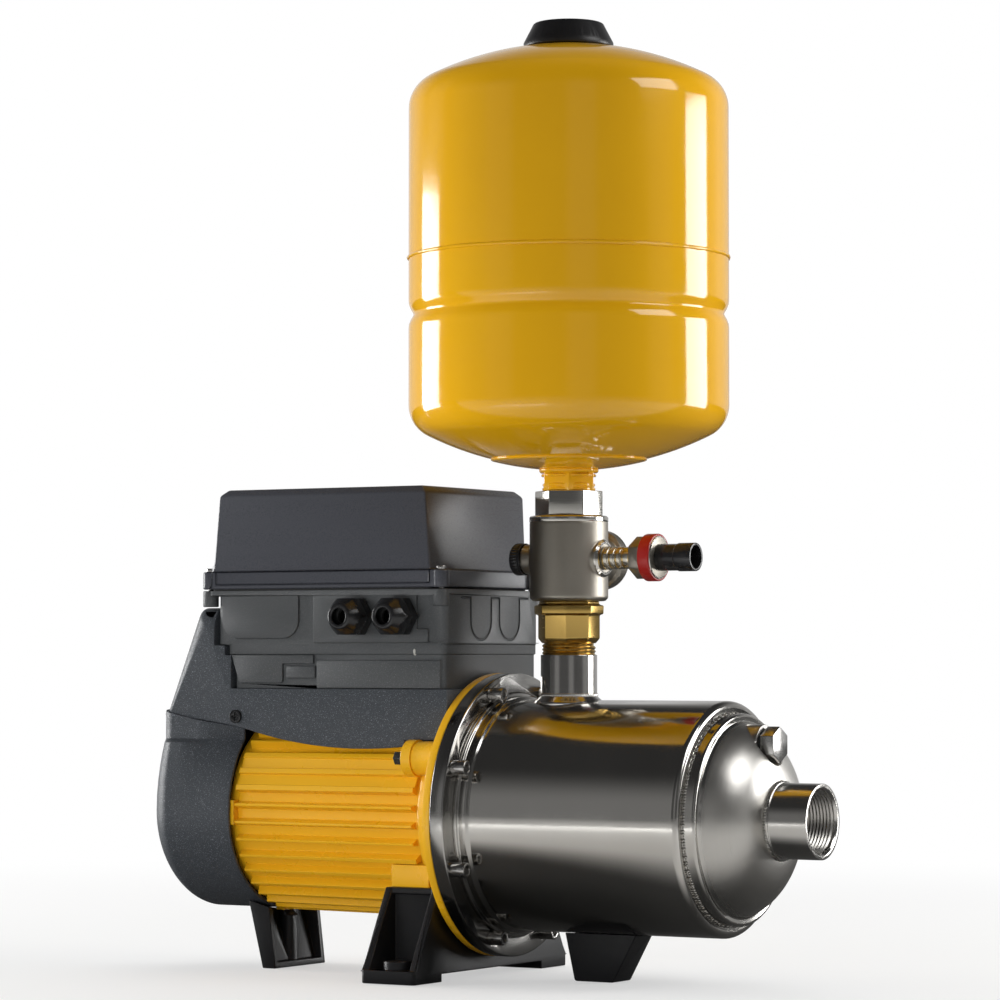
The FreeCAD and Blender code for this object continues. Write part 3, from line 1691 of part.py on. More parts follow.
def make_controller_lid():
    """The drafted lid with its screw corners, the four screws and the gasket under it."""
    start = "seam_height + gasket_thickness"
    top = "seam_height + lid_height"
    shoulder = lid_section("1 - lid_chamfer / lid_height", "0")
    outside = wedge("lid_sides", lid_section("0", "0"), start, shoulder, f"{top} - lid_chamfer")
    bevel = wedge("lid_bevel", shoulder, f"{top} - lid_chamfer", lid_section("1", "lid_chamfer"), top)
    under = lid_section("1 - box_wall / lid_height", "box_wall + lid_chamfer / 2")
    inside = wedge("lid_inside", lid_section("0", "box_wall"), f"{start} - 0.01", under, f"{top} - box_wall")
    skirt = rounded_box(
        "lid_skirt", "rim_rear_x + 1", "ear_front_x", "rim_half_width - 0.5", start, f"{start} + ear_height", "4"
    )
    space = rounded_box(
        "lid_skirt_space",
        "lid_low_rear_x + box_wall",
        "lid_low_front_x - box_wall",
        "lid_low_half_width - box_wall",
        f"{start} - 1",
        f"{start} + 2",
        "1",
    )
    columns = ears("lid_ear", "ear_radius", start, "ear_height")
    holes = ears("lid_screw_hole", "ear_screw_radius + fit_gap", f"{start} - 1", "ear_height + 2")
    cut_away(
        "controller_lid",
        joined("lid_solid", [outside, bevel, skirt, *columns]),
        joined("lid_space", [inside, space, *holes]),
    )
    heads = ears("lid_screw_head", "ear_screw_head_radius", f"{start} + ear_height", "ear_screw_head")
    shanks = ears("lid_screw_shank", "ear_screw_radius", f"{start} - 8", "ear_height + 8")
    grouped("lid_screws", [joined(f"lid_screw_{k}", list(pair)) for k, pair in enumerate(zip(heads, shanks))])
    ring = rounded_box(
        "gasket_plate", "lid_low_rear_x", "lid_low_front_x", "lid_low_half_width", "seam_height", start, "4"
    )
    hollow = rounded_box(
        "gasket_space",
        "lid_low_rear_x + box_wall",
        "lid_low_front_x - box_wall",
        "lid_low_half_width - box_wall",
        "seam_height - 1",
        f"{start} + 1",
        "2",
    )
    cut_away("lid_gasket", ring, hollow)


def make_circuit_board():
    """The inverter's board on its four posts, with its tallest parts as plain blocks."""
    floor = "axis_height + board_height"
    rear = "column_x + base_foot_rear_x + 12"
    board = block("board_plate", "board_length", "board_width", "board_thickness", (rear, "0 - board_width / 2", floor))
    top = f"{floor} + board_thickness"
    cans = [cylinder(f"capacitor_{k}", "11", "30", (f"{rear} + {30 + 26 * k}", "0 - 28", top)) for k in range(3)]
    coil = block("choke_block", "34", "28", "24", (f"{rear} + 20", "12", top))
    relay = block("relay_block", "28", "16", "18", (f"{rear} + 72", "16", top))
    terminal = block("terminal_block", "40", "12", "14", (f"{rear} + 92", "0 - 44", top))
    joined("circuit_board", [board, *cans, coil, relay, terminal])


def make_glands():
    """Two cable glands: threaded body, domed nut and rubber ring each, empty of cable."""
    bodies, nuts, seals = [], [], []
    wall = "(tub_half_width + plate_rise)"
    seat = f"0 - {wall} - gland_body_depth"
    for k in range(2):
        at = (f"column_x + gland_first_x + {k} * gland_spacing", "0", "axis_height + gland_height")
        inner = new_body(f"gland_thread_{k}", at)
        turned(
            inner,
            [
                (f"0 - {wall} + 8", "gland_bore_radius"),
                (f"0 - {wall} + 8", "gland_thread_radius"),
                (f"{seat} - 6", "gland_thread_radius"),
                (f"{seat} - 6", "gland_bore_radius"),
            ],
            about="Y",
        )
        collar = prism(f"gland_hex_{k}", "gland_flats", "gland_body_depth", (at[0], seat, at[2]), "Y")
        bore = cylinder(
            f"gland_hex_bore_{k}", "gland_thread_radius - 0.5", "gland_body_depth", (at[0], seat, at[2]), "Y"
        )
        bodies.append(joined(f"gland_{k}", [inner, cut_away(f"gland_collar_{k}", collar, bore)]))
        form = new_body(f"gland_nut_form_{k}", at)
        back = f"{seat} - fit_gap"
        front = f"{back} - gland_nut_depth"
        turned(
            form,
            [
                (back, "gland_thread_radius + fit_gap"),
                (back, "gland_flats * 0.56"),
                (f"{back} - gland_nut_depth * 0.45", "gland_flats * 0.56"),
                (front, "gland_bore_radius + 2.4"),
                (front, "gland_bore_radius"),
                (f"{front} + 2.5", "gland_bore_radius"),
                (f"{seat} - 6 - 2.4", "gland_thread_radius + fit_gap"),
            ],
            about="Y",
        )
        flats = prism(
            f"gland_nut_flats_{k}", "gland_flats", "gland_nut_depth + 1", (at[0], f"{front} - 0.5", at[2]), "Y"
        )
        nut = doc.addObject("Part::Common", f"gland_nut_{k}")
        nut.Base, nut.Tool = form, flats
        nuts.append(nut)
        seal = new_body(f"gland_seal_{k}", at)
        low = f"{seat} - 6.1"
        turned(
            seal,
            [
                (low, "gland_bore_radius"),
                (low, "gland_thread_radius"),
                (f"{low} - 2.2", "gland_thread_radius"),
                (f"{low} - 2.2", "gland_bore_radius"),
            ],
            about="Y",
        )
        seals.append(seal)
    grouped("gland_bodies", bodies)
    grouped("gland_nuts", nuts)
    grouped("gland_seals", seals)


# Feet


def make_main_foot():
    """The moulded foot under the bracket: floor plate, two end webs, side walls and bolt bosses."""
    start = "0 - foot_length / 2"
    plate = rounded_box(
        "foot_plate", start, "foot_length / 2", "foot_half_width", "0", "foot_lip", "3", ("0", "0", "0")
    )
    webs = []
    for name, x in (("front_web", "foot_length / 2 - foot_rib"), ("rear_web", start)):
        web = new_body(name, ("0", "0", "0"))
        outer, shoulder = "foot_half_width - 1.5", "foot_pad_half_width + 6"
        extruded(
            web,
            "YZ_Plane",
            [
                [
                    (f"0 - ({outer})", "foot_lip - 1"),
                    (f"0 - ({shoulder})", "axis_height - foot_pad_height"),
                    (shoulder, "axis_height - foot_pad_height"),
                    (outer, "foot_lip - 1"),
                ]
            ],
            "foot_rib",
            offset=x,
        )
        webs.append(web)
    walls = [
        block(
            f"foot_wall_{side + 1}",
            "foot_length",
            "foot_wall",
            "axis_height - foot_pad_height - 1",
            (start, f"{side} * foot_pad_half_width - foot_wall / 2", "1"),
        )
        for side in (1, -1)
    ]
    pads = [
        block(
            f"foot_pad_{side + 1}",
            "foot_length",
            "18",
            "foot_wall",
            (start, f"{side} * (foot_pad_half_width - 3) - 9", "axis_height - foot_pad_height - foot_wall"),
        )
        for side in (1, -1)
    ]
    bosses = [
        cylinder(
            f"foot_boss_{side + 1}",
            "foot_boss_radius",
            "foot_boss_height",
            ("0", f"{side} * foot_bolt_spacing / 2", "0"),
        )
        for side in (1, -1)
    ]
    bolt_holes = [
        cylinder(
            f"foot_bolt_hole_{side + 1}",
            "foot_bolt_radius",
            "3 * foot_boss_height",
            ("0", f"{side} * foot_bolt_spacing / 2", "0 - foot_boss_height"),
        )
        for side in (1, -1)
    ]
    screw_holes = [
        cylinder(f"foot_screw_hole_{side + 1}", "foot_screw_radius + fit_gap", "20", foot_screw_at(side, "0 - 10"))
        for side in (1, -1)
    ]
    arch = block(
        "foot_arch_space",
        "2 * foot_length",
        "2 * foot_arch_half_width",
        "foot_arch",
        ("0 - foot_length", "0 - foot_arch_half_width", "0"),
    )
    saddle = cylinder(
        "foot_saddle", "fin_tip_front + 1 + seat_gap", "4 * foot_length", ("0 - 2 * foot_length", "0", "axis_height"), "X"
    )
    cut_away(
        "main_foot",
        joined("foot_solid", [plate, *webs, *walls, *pads, *bosses]),
        joined("foot_space", [*bolt_holes, *screw_holes, arch, saddle]),
    )
    screws = []
    for side in (1, -1):
        head = cylinder(f"foot_screw_head_{side + 1}", "5", "4", foot_screw_at(side, "0 - foot_wall - 4"))
        shank = cylinder(
            f"foot_screw_shank_{side + 1}", "foot_screw_radius", "foot_wall + 8", foot_screw_at(side, "0 - foot_wall")
        )
        screws.append(joined(f"foot_screw_{side + 1}", [head, shank]))
    grouped("foot_screws", screws)


def make_pump_foot():
    """The block under the sleeve, cut to the sleeve's round."""
    body = new_body("pump_foot_block")
    low = "0 - axis_height"
    extruded(
        body,
        "XZ_Plane",
        [
            [
                ("pump_foot_x", low, "round", "2"),
                ("pump_foot_x + pump_foot_length", low, "round", "2"),
                ("pump_foot_top_x + pump_foot_top_length", "0 - sleeve_radius + 3"),
                ("pump_foot_top_x", "0 - sleeve_radius + 3"),
            ]
        ],
        "pump_foot_width",
        both_ways=True,
    )
    sleeve = cylinder(
        "sleeve_clearance", "sleeve_radius + seat_gap", "200", ("column_x - 50", "0", "axis_height"), "X"
    )
    cut_away("pump_foot", body, sleeve)


def make_rear_foot():
    """A channel-shaped leg under the fan cowl, open towards the pump, with a tube in its middle."""
    body = new_body("rear_foot_leg")
    low = "0 - axis_height"
    high = "0 - cowl_radius + 12"
    bottom_end = "rear_foot_x + rear_foot_length"
    top_end = "rear_foot_top_x + rear_foot_top_length"
    extruded(
        body,
        "XZ_Plane",
        [[("rear_foot_x", low), (bottom_end, low), (top_end, high), ("rear_foot_top_x", high)]],
        "rear_foot_width",
        both_ways=True,
    )
    space = new_body("rear_foot_space")
    extruded(
        space,
        "XZ_Plane",
        [
            [
                ("rear_foot_x + foot_wall", f"{low} + foot_wall"),
                (f"{bottom_end} + 9", f"{low} + foot_wall"),
                (f"{top_end} + 9", f"{high} + 1"),
                ("rear_foot_top_x + foot_wall", f"{high} + 1"),
            ]
        ],
        "rear_foot_width - 2 * foot_wall",
        both_ways=True,
    )
    tube = cylinder(
        "rear_foot_tube",
        "foot_wall + 2",
        "axis_height - cowl_radius + 10",
        ("column_x + rear_foot_x + 1", "0", "1"),
    )
    leg = doc.addObject("Part::Common", "rear_foot_tube_in_leg")
    leg.Base, leg.Tool = tube, body
    cowl = cylinder(
        "cowl_clearance", "cowl_radius + seat_gap", "200", ("column_x + rear_foot_x - 100", "0", "axis_height"), "X"
    )
    cut_away(
        "rear_foot", joined("rear_foot_solid", [cut_away("rear_foot_channel", body, space), leg]), cowl
    )


# Column of fittings


def make_check_valve():
    """A brass spring check valve: faceted body, ring seat, poppet, spring and spoked guide."""
    body = new_body("valve_turned")
    tail_low = "outlet_top - valve_tail_length"
    turned(
        body,
        [
            ("valve_bore_radius", tail_low),
            ("valve_tail_radius", tail_low),
            ("valve_tail_radius", "valve_body_low - 0.9"),
            ("valve_body_flats / 2 - 0.5", "valve_body_low + 0.5"),
            ("valve_body_flats / 2 - 0.5", "valve_hex_top - 1"),
            ("valve_tail_radius", "valve_hex_top - 1"),
            ("valve_tail_radius", "valve_hex_top + 12"),
            ("valve_bore_radius", "valve_hex_top + 12"),
        ],
        about="Z",
    )
    facets = prism(
        "valve_facets",
        "valve_body_flats",
        "valve_hex_low - valve_body_low",
        ("column_x", "0", "axis_height + valve_body_low"),
        sides=8,
    )
    hexagon = prism(
        "valve_hex",
        "valve_hex_flats",
        "valve_hex_top - valve_hex_low",
        ("column_x", "0", "axis_height + valve_hex_low"),
    )
    bore = cylinder(
        "valve_bore", "valve_bore_radius", "80", ("column_x", "0", "axis_height + outlet_top - valve_tail_length - 5")
    )
    shell = cut_away("valve_shell", joined("valve_solid", [body, facets, hexagon]), bore)
    seat = new_body("valve_seat")
    turned(
        seat,
        [
            ("valve_seat_radius", "valve_body_low"),
            ("valve_bore_radius - fit_gap", "valve_body_low"),
            ("valve_bore_radius - fit_gap", "valve_body_low + 3"),
            ("valve_seat_radius", "valve_body_low + 3"),
        ],
        about="Z",
    )
    top = "valve_body_low + 3 + running_gap"
    poppet = new_body("poppet")
    turned(
        poppet,
        [
            ("0", top),
            ("poppet_radius", top),
            ("poppet_radius", f"{top} + 2.5"),
            ("poppet_stem_radius", f"{top} + 2.5"),
            ("poppet_stem_radius", "valve_guide_low + 8"),
            ("0", "valve_guide_low + 8"),
        ],
        about="Z",
    )
    guide = new_body("valve_guide")
    for inner, outer in (
        ("poppet_stem_radius + running_gap", "poppet_stem_radius + 2.5"),
        ("valve_bore_radius - 2", "valve_bore_radius + 1"),
    ):
        turned(
            guide,
            [
                (inner, "valve_guide_low"),
                (outer, "valve_guide_low"),
                (outer, "valve_guide_low + 3"),
                (inner, "valve_guide_low + 3"),
            ],
            about="Z",
        )
    spoke = extruded(
        guide,
        "XY_Plane",
        [rectangle("poppet_stem_radius + 1.5", "valve_bore_radius - 1", "0 - 1.2", "1.2")],
        "3",
        offset="valve_guide_low",
    )
    around(guide, [spoke], "Z_Axis", "3")
    joined("check_valve_body", [shell, guide])
    make_spring(f"{top} + 2.5", "valve_guide_low")


def make_spring(low, high):
    """A square-wire spring between two heights on the column."""
    body = new_body("poppet_spring")
    sketch = new_sketch(body, "XZ_Plane")
    half = "spring_wire / 2"
    start = f"{low} + {half} + 0.15"
    outline(
        sketch,
        rectangle(f"spring_radius - {half}", f"spring_radius + {half}", f"{start} - {half}", f"{start} + {half}"),
    )
    coil = body.newObject("PartDesign::AdditiveHelix", "SpringCoil")
    coil.Profile = sketch
    coil.ReferenceAxis = (sketch, ["V_Axis"])
    coil.Mode = "height-turns-growth"
    bind(coil, Height=f"({high}) - ({low}) - spring_wire - 0.3", Turns="spring_turns")
    coil.Growth = 0


def make_cross():
    """The five-way body: a drum with a delivery port, a sensor boss and a plugged boss."""
    body = new_body("cross_drum")
    turned(
        body,
        [
            ("0", "valve_hex_top"),
            ("cross_radius - cross_bevel", "valve_hex_top"),
            ("cross_radius", "valve_hex_top + cross_bevel"),
            ("cross_radius", "cross_top - cross_band"),
            ("cross_radius - 0.5", "cross_top - cross_band"),
            ("cross_radius - 0.5", "cross_top"),
            ("0", "cross_top"),
        ],
        about="Z",
    )
    level = "axis_height + port_height"
    side = cylinder("side_boss", "side_boss_radius", "side_boss_reach", ("column_x - side_boss_reach", "0", level), "X")
    sensor = doc.addObject("Part::Cone", "sensor_boss")
    bind(sensor, Radius1="sensor_boss_radius + 2.5", Radius2="sensor_boss_radius - 2", Height="sensor_boss_reach - 14")
    place(sensor, ("column_x + 14", "0", level), ((0, 1, 0), 90))
    port = new_body("delivery_port", ("column_x", "0", level))
    turned(
        port,
        [
            ("0", "0"),
            ("0", "delivery_radius - 2.5"),
            ("delivery_reach - 9", "delivery_radius - 2.5"),
            ("delivery_reach - 8", "delivery_radius"),
            ("delivery_reach", "delivery_radius"),
            ("delivery_reach", "0"),
        ],
        about="Y",
    )
    lower = cylinder(
        "cross_lower_bore", "valve_tail_radius + fit_gap", "12.5", ("column_x", "0", "axis_height + valve_hex_top")
    )
    middle = cylinder(
        "cross_middle_bore", "valve_bore_radius", "cross_top - valve_hex_top", ("column_x", "0", "axis_height + valve_hex_top")
    )
    upper = cylinder(
        "cross_upper_bore", "valve_tail_radius + fit_gap", "14", ("column_x", "0", "axis_height + cross_top - 13")
    )
    side_bore = cylinder(
        "side_bore", "side_thread_radius", "side_boss_reach + 1", ("column_x - side_boss_reach - 1", "0", level), "X"
    )
    sensor_bore = cylinder("sensor_bore", "side_thread_radius", "sensor_boss_reach + 4", ("column_x", "0", level), "X")
    delivery_bore = cylinder("delivery_bore", "delivery_bore_radius", "delivery_reach + 1", ("column_x", "0", level), "Y")
    cut_away(
        "five_way_body",
        joined("cross_solid", [body, side, sensor, port]),
        joined("cross_bores", [lower, middle, upper, side_bore, sensor_bore, delivery_bore]),
    )


def make_side_fittings():
    """The blanking plug on one side and the pressure sensor on the other."""
    at = ("column_x", "0", "axis_height + port_height")
    plug = new_body("blanking_plug", at)
    reach = "0 - side_boss_reach"
    turned(
        plug,
        [
            (f"{reach} - blank_head", "0"),
            (f"{reach} - blank_head", "blank_head_radius"),
            (reach, "blank_head_radius"),
            (reach, "side_thread_radius - fit_gap"),
            (f"{reach} + 9", "side_thread_radius - fit_gap"),
            (f"{reach} + 9", "0"),
        ],
    )
    end = "sensor_boss_reach"
    nipple = new_body("sensor_nipple", at)
    turned(
        nipple,
        [
            (f"{end} - 9", "0"),
            (f"{end} - 9", "side_thread_radius - fit_gap"),
            (end, "side_thread_radius - fit_gap"),
            (end, "nipple_radius"),
            (f"{end} + 8", "nipple_radius"),
            (f"{end} + 8", "nipple_radius - 0.7"),
            (f"{end} + 10", "nipple_radius - 0.7"),
            (f"{end} + 10", "nipple_radius + 0.4"),
            ("nipple_reach", "nipple_radius + 0.4"),
            ("nipple_reach", "0"),
        ],
    )
    hexagon = prism("sensor_hex_block", "sensor_flats", "sensor_hex", ("column_x + nipple_reach", "0", at[2]), "X")
    barrel = cylinder(
        "sensor_barrel",
        "sensor_ring_radius - 2",
        "sensor_ring_width + 0.6",
        ("column_x + nipple_reach + sensor_hex", "0", at[2]),
        "X",
    )
    joined("sensor_body", [barrel, trimmed_hex("sensor_hex_round", hexagon, at)])
    ring_start = "nipple_reach + sensor_hex"
    ring = new_body("sensor_ring", at)
    turned(
        ring,
        [
            (ring_start, "sensor_ring_radius - 2 + fit_gap"),
            (ring_start, "sensor_ring_radius"),
            (f"{ring_start} + sensor_ring_width", "sensor_ring_radius"),
            (f"{ring_start} + sensor_ring_width", "sensor_ring_radius - 2 + fit_gap"),
        ],
    )
    start = f"{ring_start} + sensor_ring_width + 0.6"
    connector = new_body("sensor_connector", at)
    turned(
        connector,
        [
            (start, "0"),
            (start, "connector_radius"),
            ("connector_end - 12.5", "connector_radius"),
            ("connector_end - 12", "connector_radius + 0.5"),
            ("connector_end", "connector_radius + 0.5"),
            ("connector_end", "connector_socket_radius"),
            ("connector_end - connector_socket_depth", "connector_socket_radius"),
            ("connector_end - connector_socket_depth", "0"),
        ],
    )


def trimmed_hex(label, hexagon, at):
    """A hexagon whose corners are taken off by a round slightly larger than its flats."""
    limit = cylinder(label + "_limit", "sensor_flats * 0.56", "sensor_hex", ("column_x + nipple_reach", "0", at[2]), "X")
    shape = doc.addObject("Part::Common", label)
    shape.Base, shape.Tool = hexagon, limit
    return shape


def make_neck():
    """The plated hexagon nipple on the five-way body and the vessel's painted neck above it."""
    nipple = new_body("nipple_turned")
    turned(
        nipple,
        [
            ("neck_bore_radius", "cross_top - 12"),
            ("valve_tail_radius", "cross_top - 12"),
            ("valve_tail_radius", "cross_top + 2"),
            ("neck_bore_radius", "cross_top + 2"),
        ],
        about="Z",
    )
    hexagon = prism(
        "nipple_hex", "nipple_hex_flats", "nipple_hex_top - cross_top", ("column_x", "0", "axis_height + cross_top")
    )
    lower = cylinder("nipple_bore", "neck_bore_radius", "60", ("column_x", "0", "axis_height + cross_top - 30"))
    upper = cylinder(
        "nipple_thread", "neck_radius - 2.5 + fit_gap", "12", ("column_x", "0", "axis_height + nipple_hex_top - 11")
    )
    cut_away("hex_nipple", joined("nipple_solid", [nipple, hexagon]), joined("nipple_space", [lower, upper]))
    neck = new_body("neck_turned")
    turned(
        neck,
        [
            ("neck_bore_radius", "nipple_hex_top - 10.5"),
            ("neck_radius - 2.5", "nipple_hex_top - 10.5"),
            ("neck_radius - 2.5", "nipple_hex_top + 1"),
            ("neck_radius", "nipple_hex_top + 1"),
            ("neck_radius", f"{TANK_BOTTOM} + 5"),
            ("neck_bore_radius", f"{TANK_BOTTOM} + 5"),
        ],
        about="Z",
    )
    neck_rise = "(tank_crown_radius - sqrt(tank_crown_radius ^ 2 - neck_radius ^ 2))"
    hex_top = f"{TANK_BOTTOM} - weld_plate_thickness + {neck_rise} - fit_gap"
    neck_hex = prism(
        "neck_hex",
        "neck_flats",
        f"{hex_top} - nipple_hex_top",
        ("column_x", "0", "axis_height + nipple_hex_top"),
    )
    bore = cylinder("neck_bore", "neck_bore_radius", "60", ("column_x", "0", "axis_height + nipple_hex_top - 20"))
    cut_away("tank_neck", joined("neck_solid", [neck, neck_hex]), bore)


# Pressure vessel


def dome(shoulder, up, inset):
    """Corners of a dished end from the axis to the wall: crown arc, knuckle arc, shoulder."""
    crown, knuckle = f"(tank_crown_radius - {inset})", f"(tank_knuckle_radius - {inset})"
    apex = f"{shoulder} + {up} * ({crown} - {TANK_REACH} * cos({TANK_SLOPE}))"
    meet = (f"{crown} * sin({TANK_SLOPE})", f"{shoulder} + {up} * ({crown} - {TANK_REACH}) * cos({TANK_SLOPE})")
    return apex, meet, crown, knuckle


def make_vessel():
    """The two welded shells, the diaphragm between them, the air valve and its cap."""
    inner = "tank_radius - tank_wall"
    apex, meet, crown, knuckle = dome("tank_top_shoulder", 1, "0")
    in_apex, in_meet, in_crown, in_knuckle = dome("tank_top_shoulder", 1, "tank_wall")
    hole = "air_valve_radius + fit_gap"
    rim_drop = "(tank_crown_radius - sqrt(tank_crown_radius ^ 2 - (air_valve_radius + fit_gap) ^ 2))"
    upper = new_body("tank_upper_shell")
    turned(
        upper,
        [
            (hole, f"{apex} - {rim_drop}", "bow", crown),
            (*meet, "bow", knuckle),
            ("tank_radius", "tank_top_shoulder"),
            ("tank_radius", "tank_seam + 2.2"),
            ("tank_radius + tank_bead_radius", "tank_seam + 0.8"),
            ("tank_radius + tank_bead_radius", "tank_seam"),
            (inner, "tank_seam"),
            (inner, "tank_top_shoulder", "bow", f"0 - {in_knuckle}"),
            (*in_meet, "bow", f"0 - {in_crown}"),
            (hole, f"{in_apex} - {rim_drop}"),
        ],
        about="Z",
    )
    apex, meet, crown, knuckle = dome("tank_bottom_shoulder", -1, "0")
    in_apex, in_meet, in_crown, in_knuckle = dome("tank_bottom_shoulder", -1, "tank_wall")
    hole = "neck_radius + fit_gap"
    rim_rise = "(tank_crown_radius - sqrt(tank_crown_radius ^ 2 - (neck_radius + fit_gap) ^ 2))"
    plate_rise = "(tank_crown_radius - sqrt(tank_crown_radius ^ 2 - weld_plate_radius ^ 2))"
    half = "tank_groove_half_height"
    lower = new_body("tank_lower_shell")
    turned(
        lower,
        [
            ("tank_radius", "tank_seam"),
            ("tank_radius", f"tank_groove + {half}"),
            ("tank_radius - tank_groove_depth", "tank_groove", "round", "3"),
            ("tank_radius", f"tank_groove - {half}"),
            ("tank_radius", "tank_bottom_shoulder", "bow", knuckle),
            (*meet, "bow", crown),
            ("weld_plate_radius", f"{apex} + {plate_rise}"),
            (
                "weld_plate_radius",
                f"{apex} + {plate_rise} - weld_plate_thickness",
                "bow",
                f"{crown} + weld_plate_thickness",
            ),
            (hole, f"{apex} + {rim_rise} - weld_plate_thickness"),
            (hole, f"{in_apex} + {rim_rise}", "bow", f"0 - {in_crown}"),
            (*in_meet, "bow", f"0 - {in_knuckle}"),
            (inner, "tank_bottom_shoulder"),
            (inner, f"tank_groove - {half}"),
            (f"{inner} - tank_groove_depth", "tank_groove", "round", "3"),
            (inner, f"tank_groove + {half}"),
            (inner, "tank_seam"),
        ],
        about="Z",
    )
    rim = f"{inner} - seat_gap"
    skin = "diaphragm_thickness"
    low = f"{TANK_BOTTOM} + 12"
    bladder = new_body("diaphragm")
    turned(
        bladder,
        [
            (rim, f"tank_groove - {half} - 1"),
            (rim, f"tank_groove - {half} - 7"),
            (f"{rim} - 3", f"tank_groove - {half} - 7"),
            (f"{rim} - 3", "tank_bottom_shoulder + 8", "round", "40"),
            (f"{rim} - 30", f"{low} + 12", "round", "40"),
            ("0", low),
            ("0", f"{low} + {skin}"),
            (f"{rim} - 31", f"{low} + 12 + {skin}", "round", "38"),
            (f"{rim} - 3 - {skin}", "tank_bottom_shoulder + 9", "round", "38"),
            (f"{rim} - 3 - {skin}", f"tank_groove - {half} - 1"),
        ],
        about="Z",
    )


def make_air_valve():
    """The vessel's air valve with its sprung pin, under a hollow cap."""
    top = f"{TANK_TOP} - 0.1"
    stem = new_body("air_valve_body")
    turned(
        stem,
        [
            ("air_pin_radius + running_gap", f"{top} - 6"),
            ("air_valve_radius + 2", f"{top} - 6"),
            ("air_valve_radius + 2", f"{top} - tank_wall - 0.2"),
            ("air_valve_radius", f"{top} - tank_wall - 0.2"),
            ("air_valve_radius", f"{top} + air_valve_height"),
            ("air_valve_radius - 1.6", f"{top} + air_valve_height"),
            ("air_valve_radius - 1.6", f"{top} + air_valve_height - 4"),
            ("air_pin_radius + running_gap", f"{top} + air_valve_height - 4"),
        ],
        about="Z",
    )
    pin = new_body("air_valve_pin")
    turned(
        pin,
        [
            ("0", f"{top} - 8"),
            ("air_pin_radius + 1.5", f"{top} - 8"),
            ("air_pin_radius + 1.5", f"{top} - 6 - running_gap"),
            ("air_pin_radius", f"{top} - 6 - running_gap"),
            ("air_pin_radius", f"{top} + air_valve_height - 0.6"),
            ("0", f"{top} + air_valve_height - 0.6"),
        ],
        about="Z",
    )
    drop = "(tank_crown_radius - sqrt(tank_crown_radius ^ 2 - cap_radius ^ 2))"
    base = f"{TANK_TOP} - {drop} + seat_gap"
    high = f"{TANK_TOP} + cap_height"
    cap = new_body("valve_cap")
    turned(
        cap,
        [
            ("0", high),
            ("cap_top_radius", high, "round", "2.5"),
            ("cap_radius", f"{base} + 4"),
            ("cap_radius", base),
            ("cap_radius - cap_wall", f"{base} + 0.6"),
            ("cap_radius - cap_wall", f"{base} + 4"),
            ("cap_top_radius - cap_wall", f"{high} - cap_wall"),
            ("0", f"{high} - cap_wall"),
        ],
        about="Z",
    )


def make_tie_bolts():
    """The four long bolts inside the housing that hold end shield, core and bracket together."""
    body = new_body("tie_bolts")
    rear = "housing_front_x - housing_length - end_shield_thickness"
    front = "flange_x - bracket_web"
    angle = "180 / tie_bolt_count"
    at = (f"tie_bolt_circle * sin({angle})", f"tie_bolt_circle * cos({angle})")
    shank = extruded(body, "YZ_Plane", [(*at, "tie_bolt_radius")], f"{front} - ({rear})", offset=rear)
    head = extruded(body, "YZ_Plane", [(*at, "tie_bolt_radius + 1.5")], "3", offset=f"{rear} - 3")
    around(body, [shank, head], "X_Axis", "tie_bolt_count")


# The parts that the pump is made of

MAKERS = [
    make_casing,
    make_sockets,
    make_clamp_ring,
    make_flange_screws,
    make_priming_plug,
    make_seal_parts,
    make_stages,
    make_shaft,
    make_bearings,
    make_rotor,
    make_stator,
    make_bracket,
    make_housing,
    make_end_shield,
    make_tie_bolts,
    make_fan,
    make_fan_cowl,
    make_upper_cowl,
    make_controller_base,
    make_controller_lid,
    make_circuit_board,
    make_glands,
    make_main_foot,
    make_pump_foot,
    make_rear_foot,
    make_check_valve,
    make_cross,
    make_side_fittings,
    make_neck,
    make_vessel,
    make_air_valve,
]

NODES = """
pump_casing inlet_socket outlet_socket clamp_ring flange_screws motor_bracket bracket_screws
priming_plug plug_washer seal_plate casing_o_ring seal_seat seal_ring shaft impellers diffusers
suction_plate impeller_nut motor_housing stator_core windings rotor bearing_outer_rings
bearing_inner_rings end_shield tie_bolts cooling_fan fan_cowl upper_cowl cowl_screws
controller_base controller_lid lid_gasket lid_screws circuit_board gland_bodies gland_nuts
gland_seals main_foot pump_foot rear_foot foot_screws check_valve_body valve_seat poppet
poppet_spring five_way_body blanking_plug sensor_nipple sensor_body sensor_ring
sensor_connector hex_nipple tank_neck tank_lower_shell tank_upper_shell diaphragm
air_valve_body air_valve_pin valve_cap
""".split()


def main():
    for make in MAKERS:
        make()
    doc.recompute()
    for thing in doc.Objects:
        faults = {"Invalid", "Error"} & set(thing.State)
        if faults:
            raise SystemExit(f"{thing.Label} is {faults}")
    made = {thing.Label: thing for thing in doc.Objects}
    for node in NODES:
        shape = made[node].Shape
        if shape.isNull() or not shape.isValid() or not shape.Solids:
            raise SystemExit(f"{node} has no sound shape")
    os.makedirs("parts", exist_ok=True)
    for node in NODES:
        made[node].Shape.exportStep(f"parts/{node}.step")


main()
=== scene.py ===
import json
import math

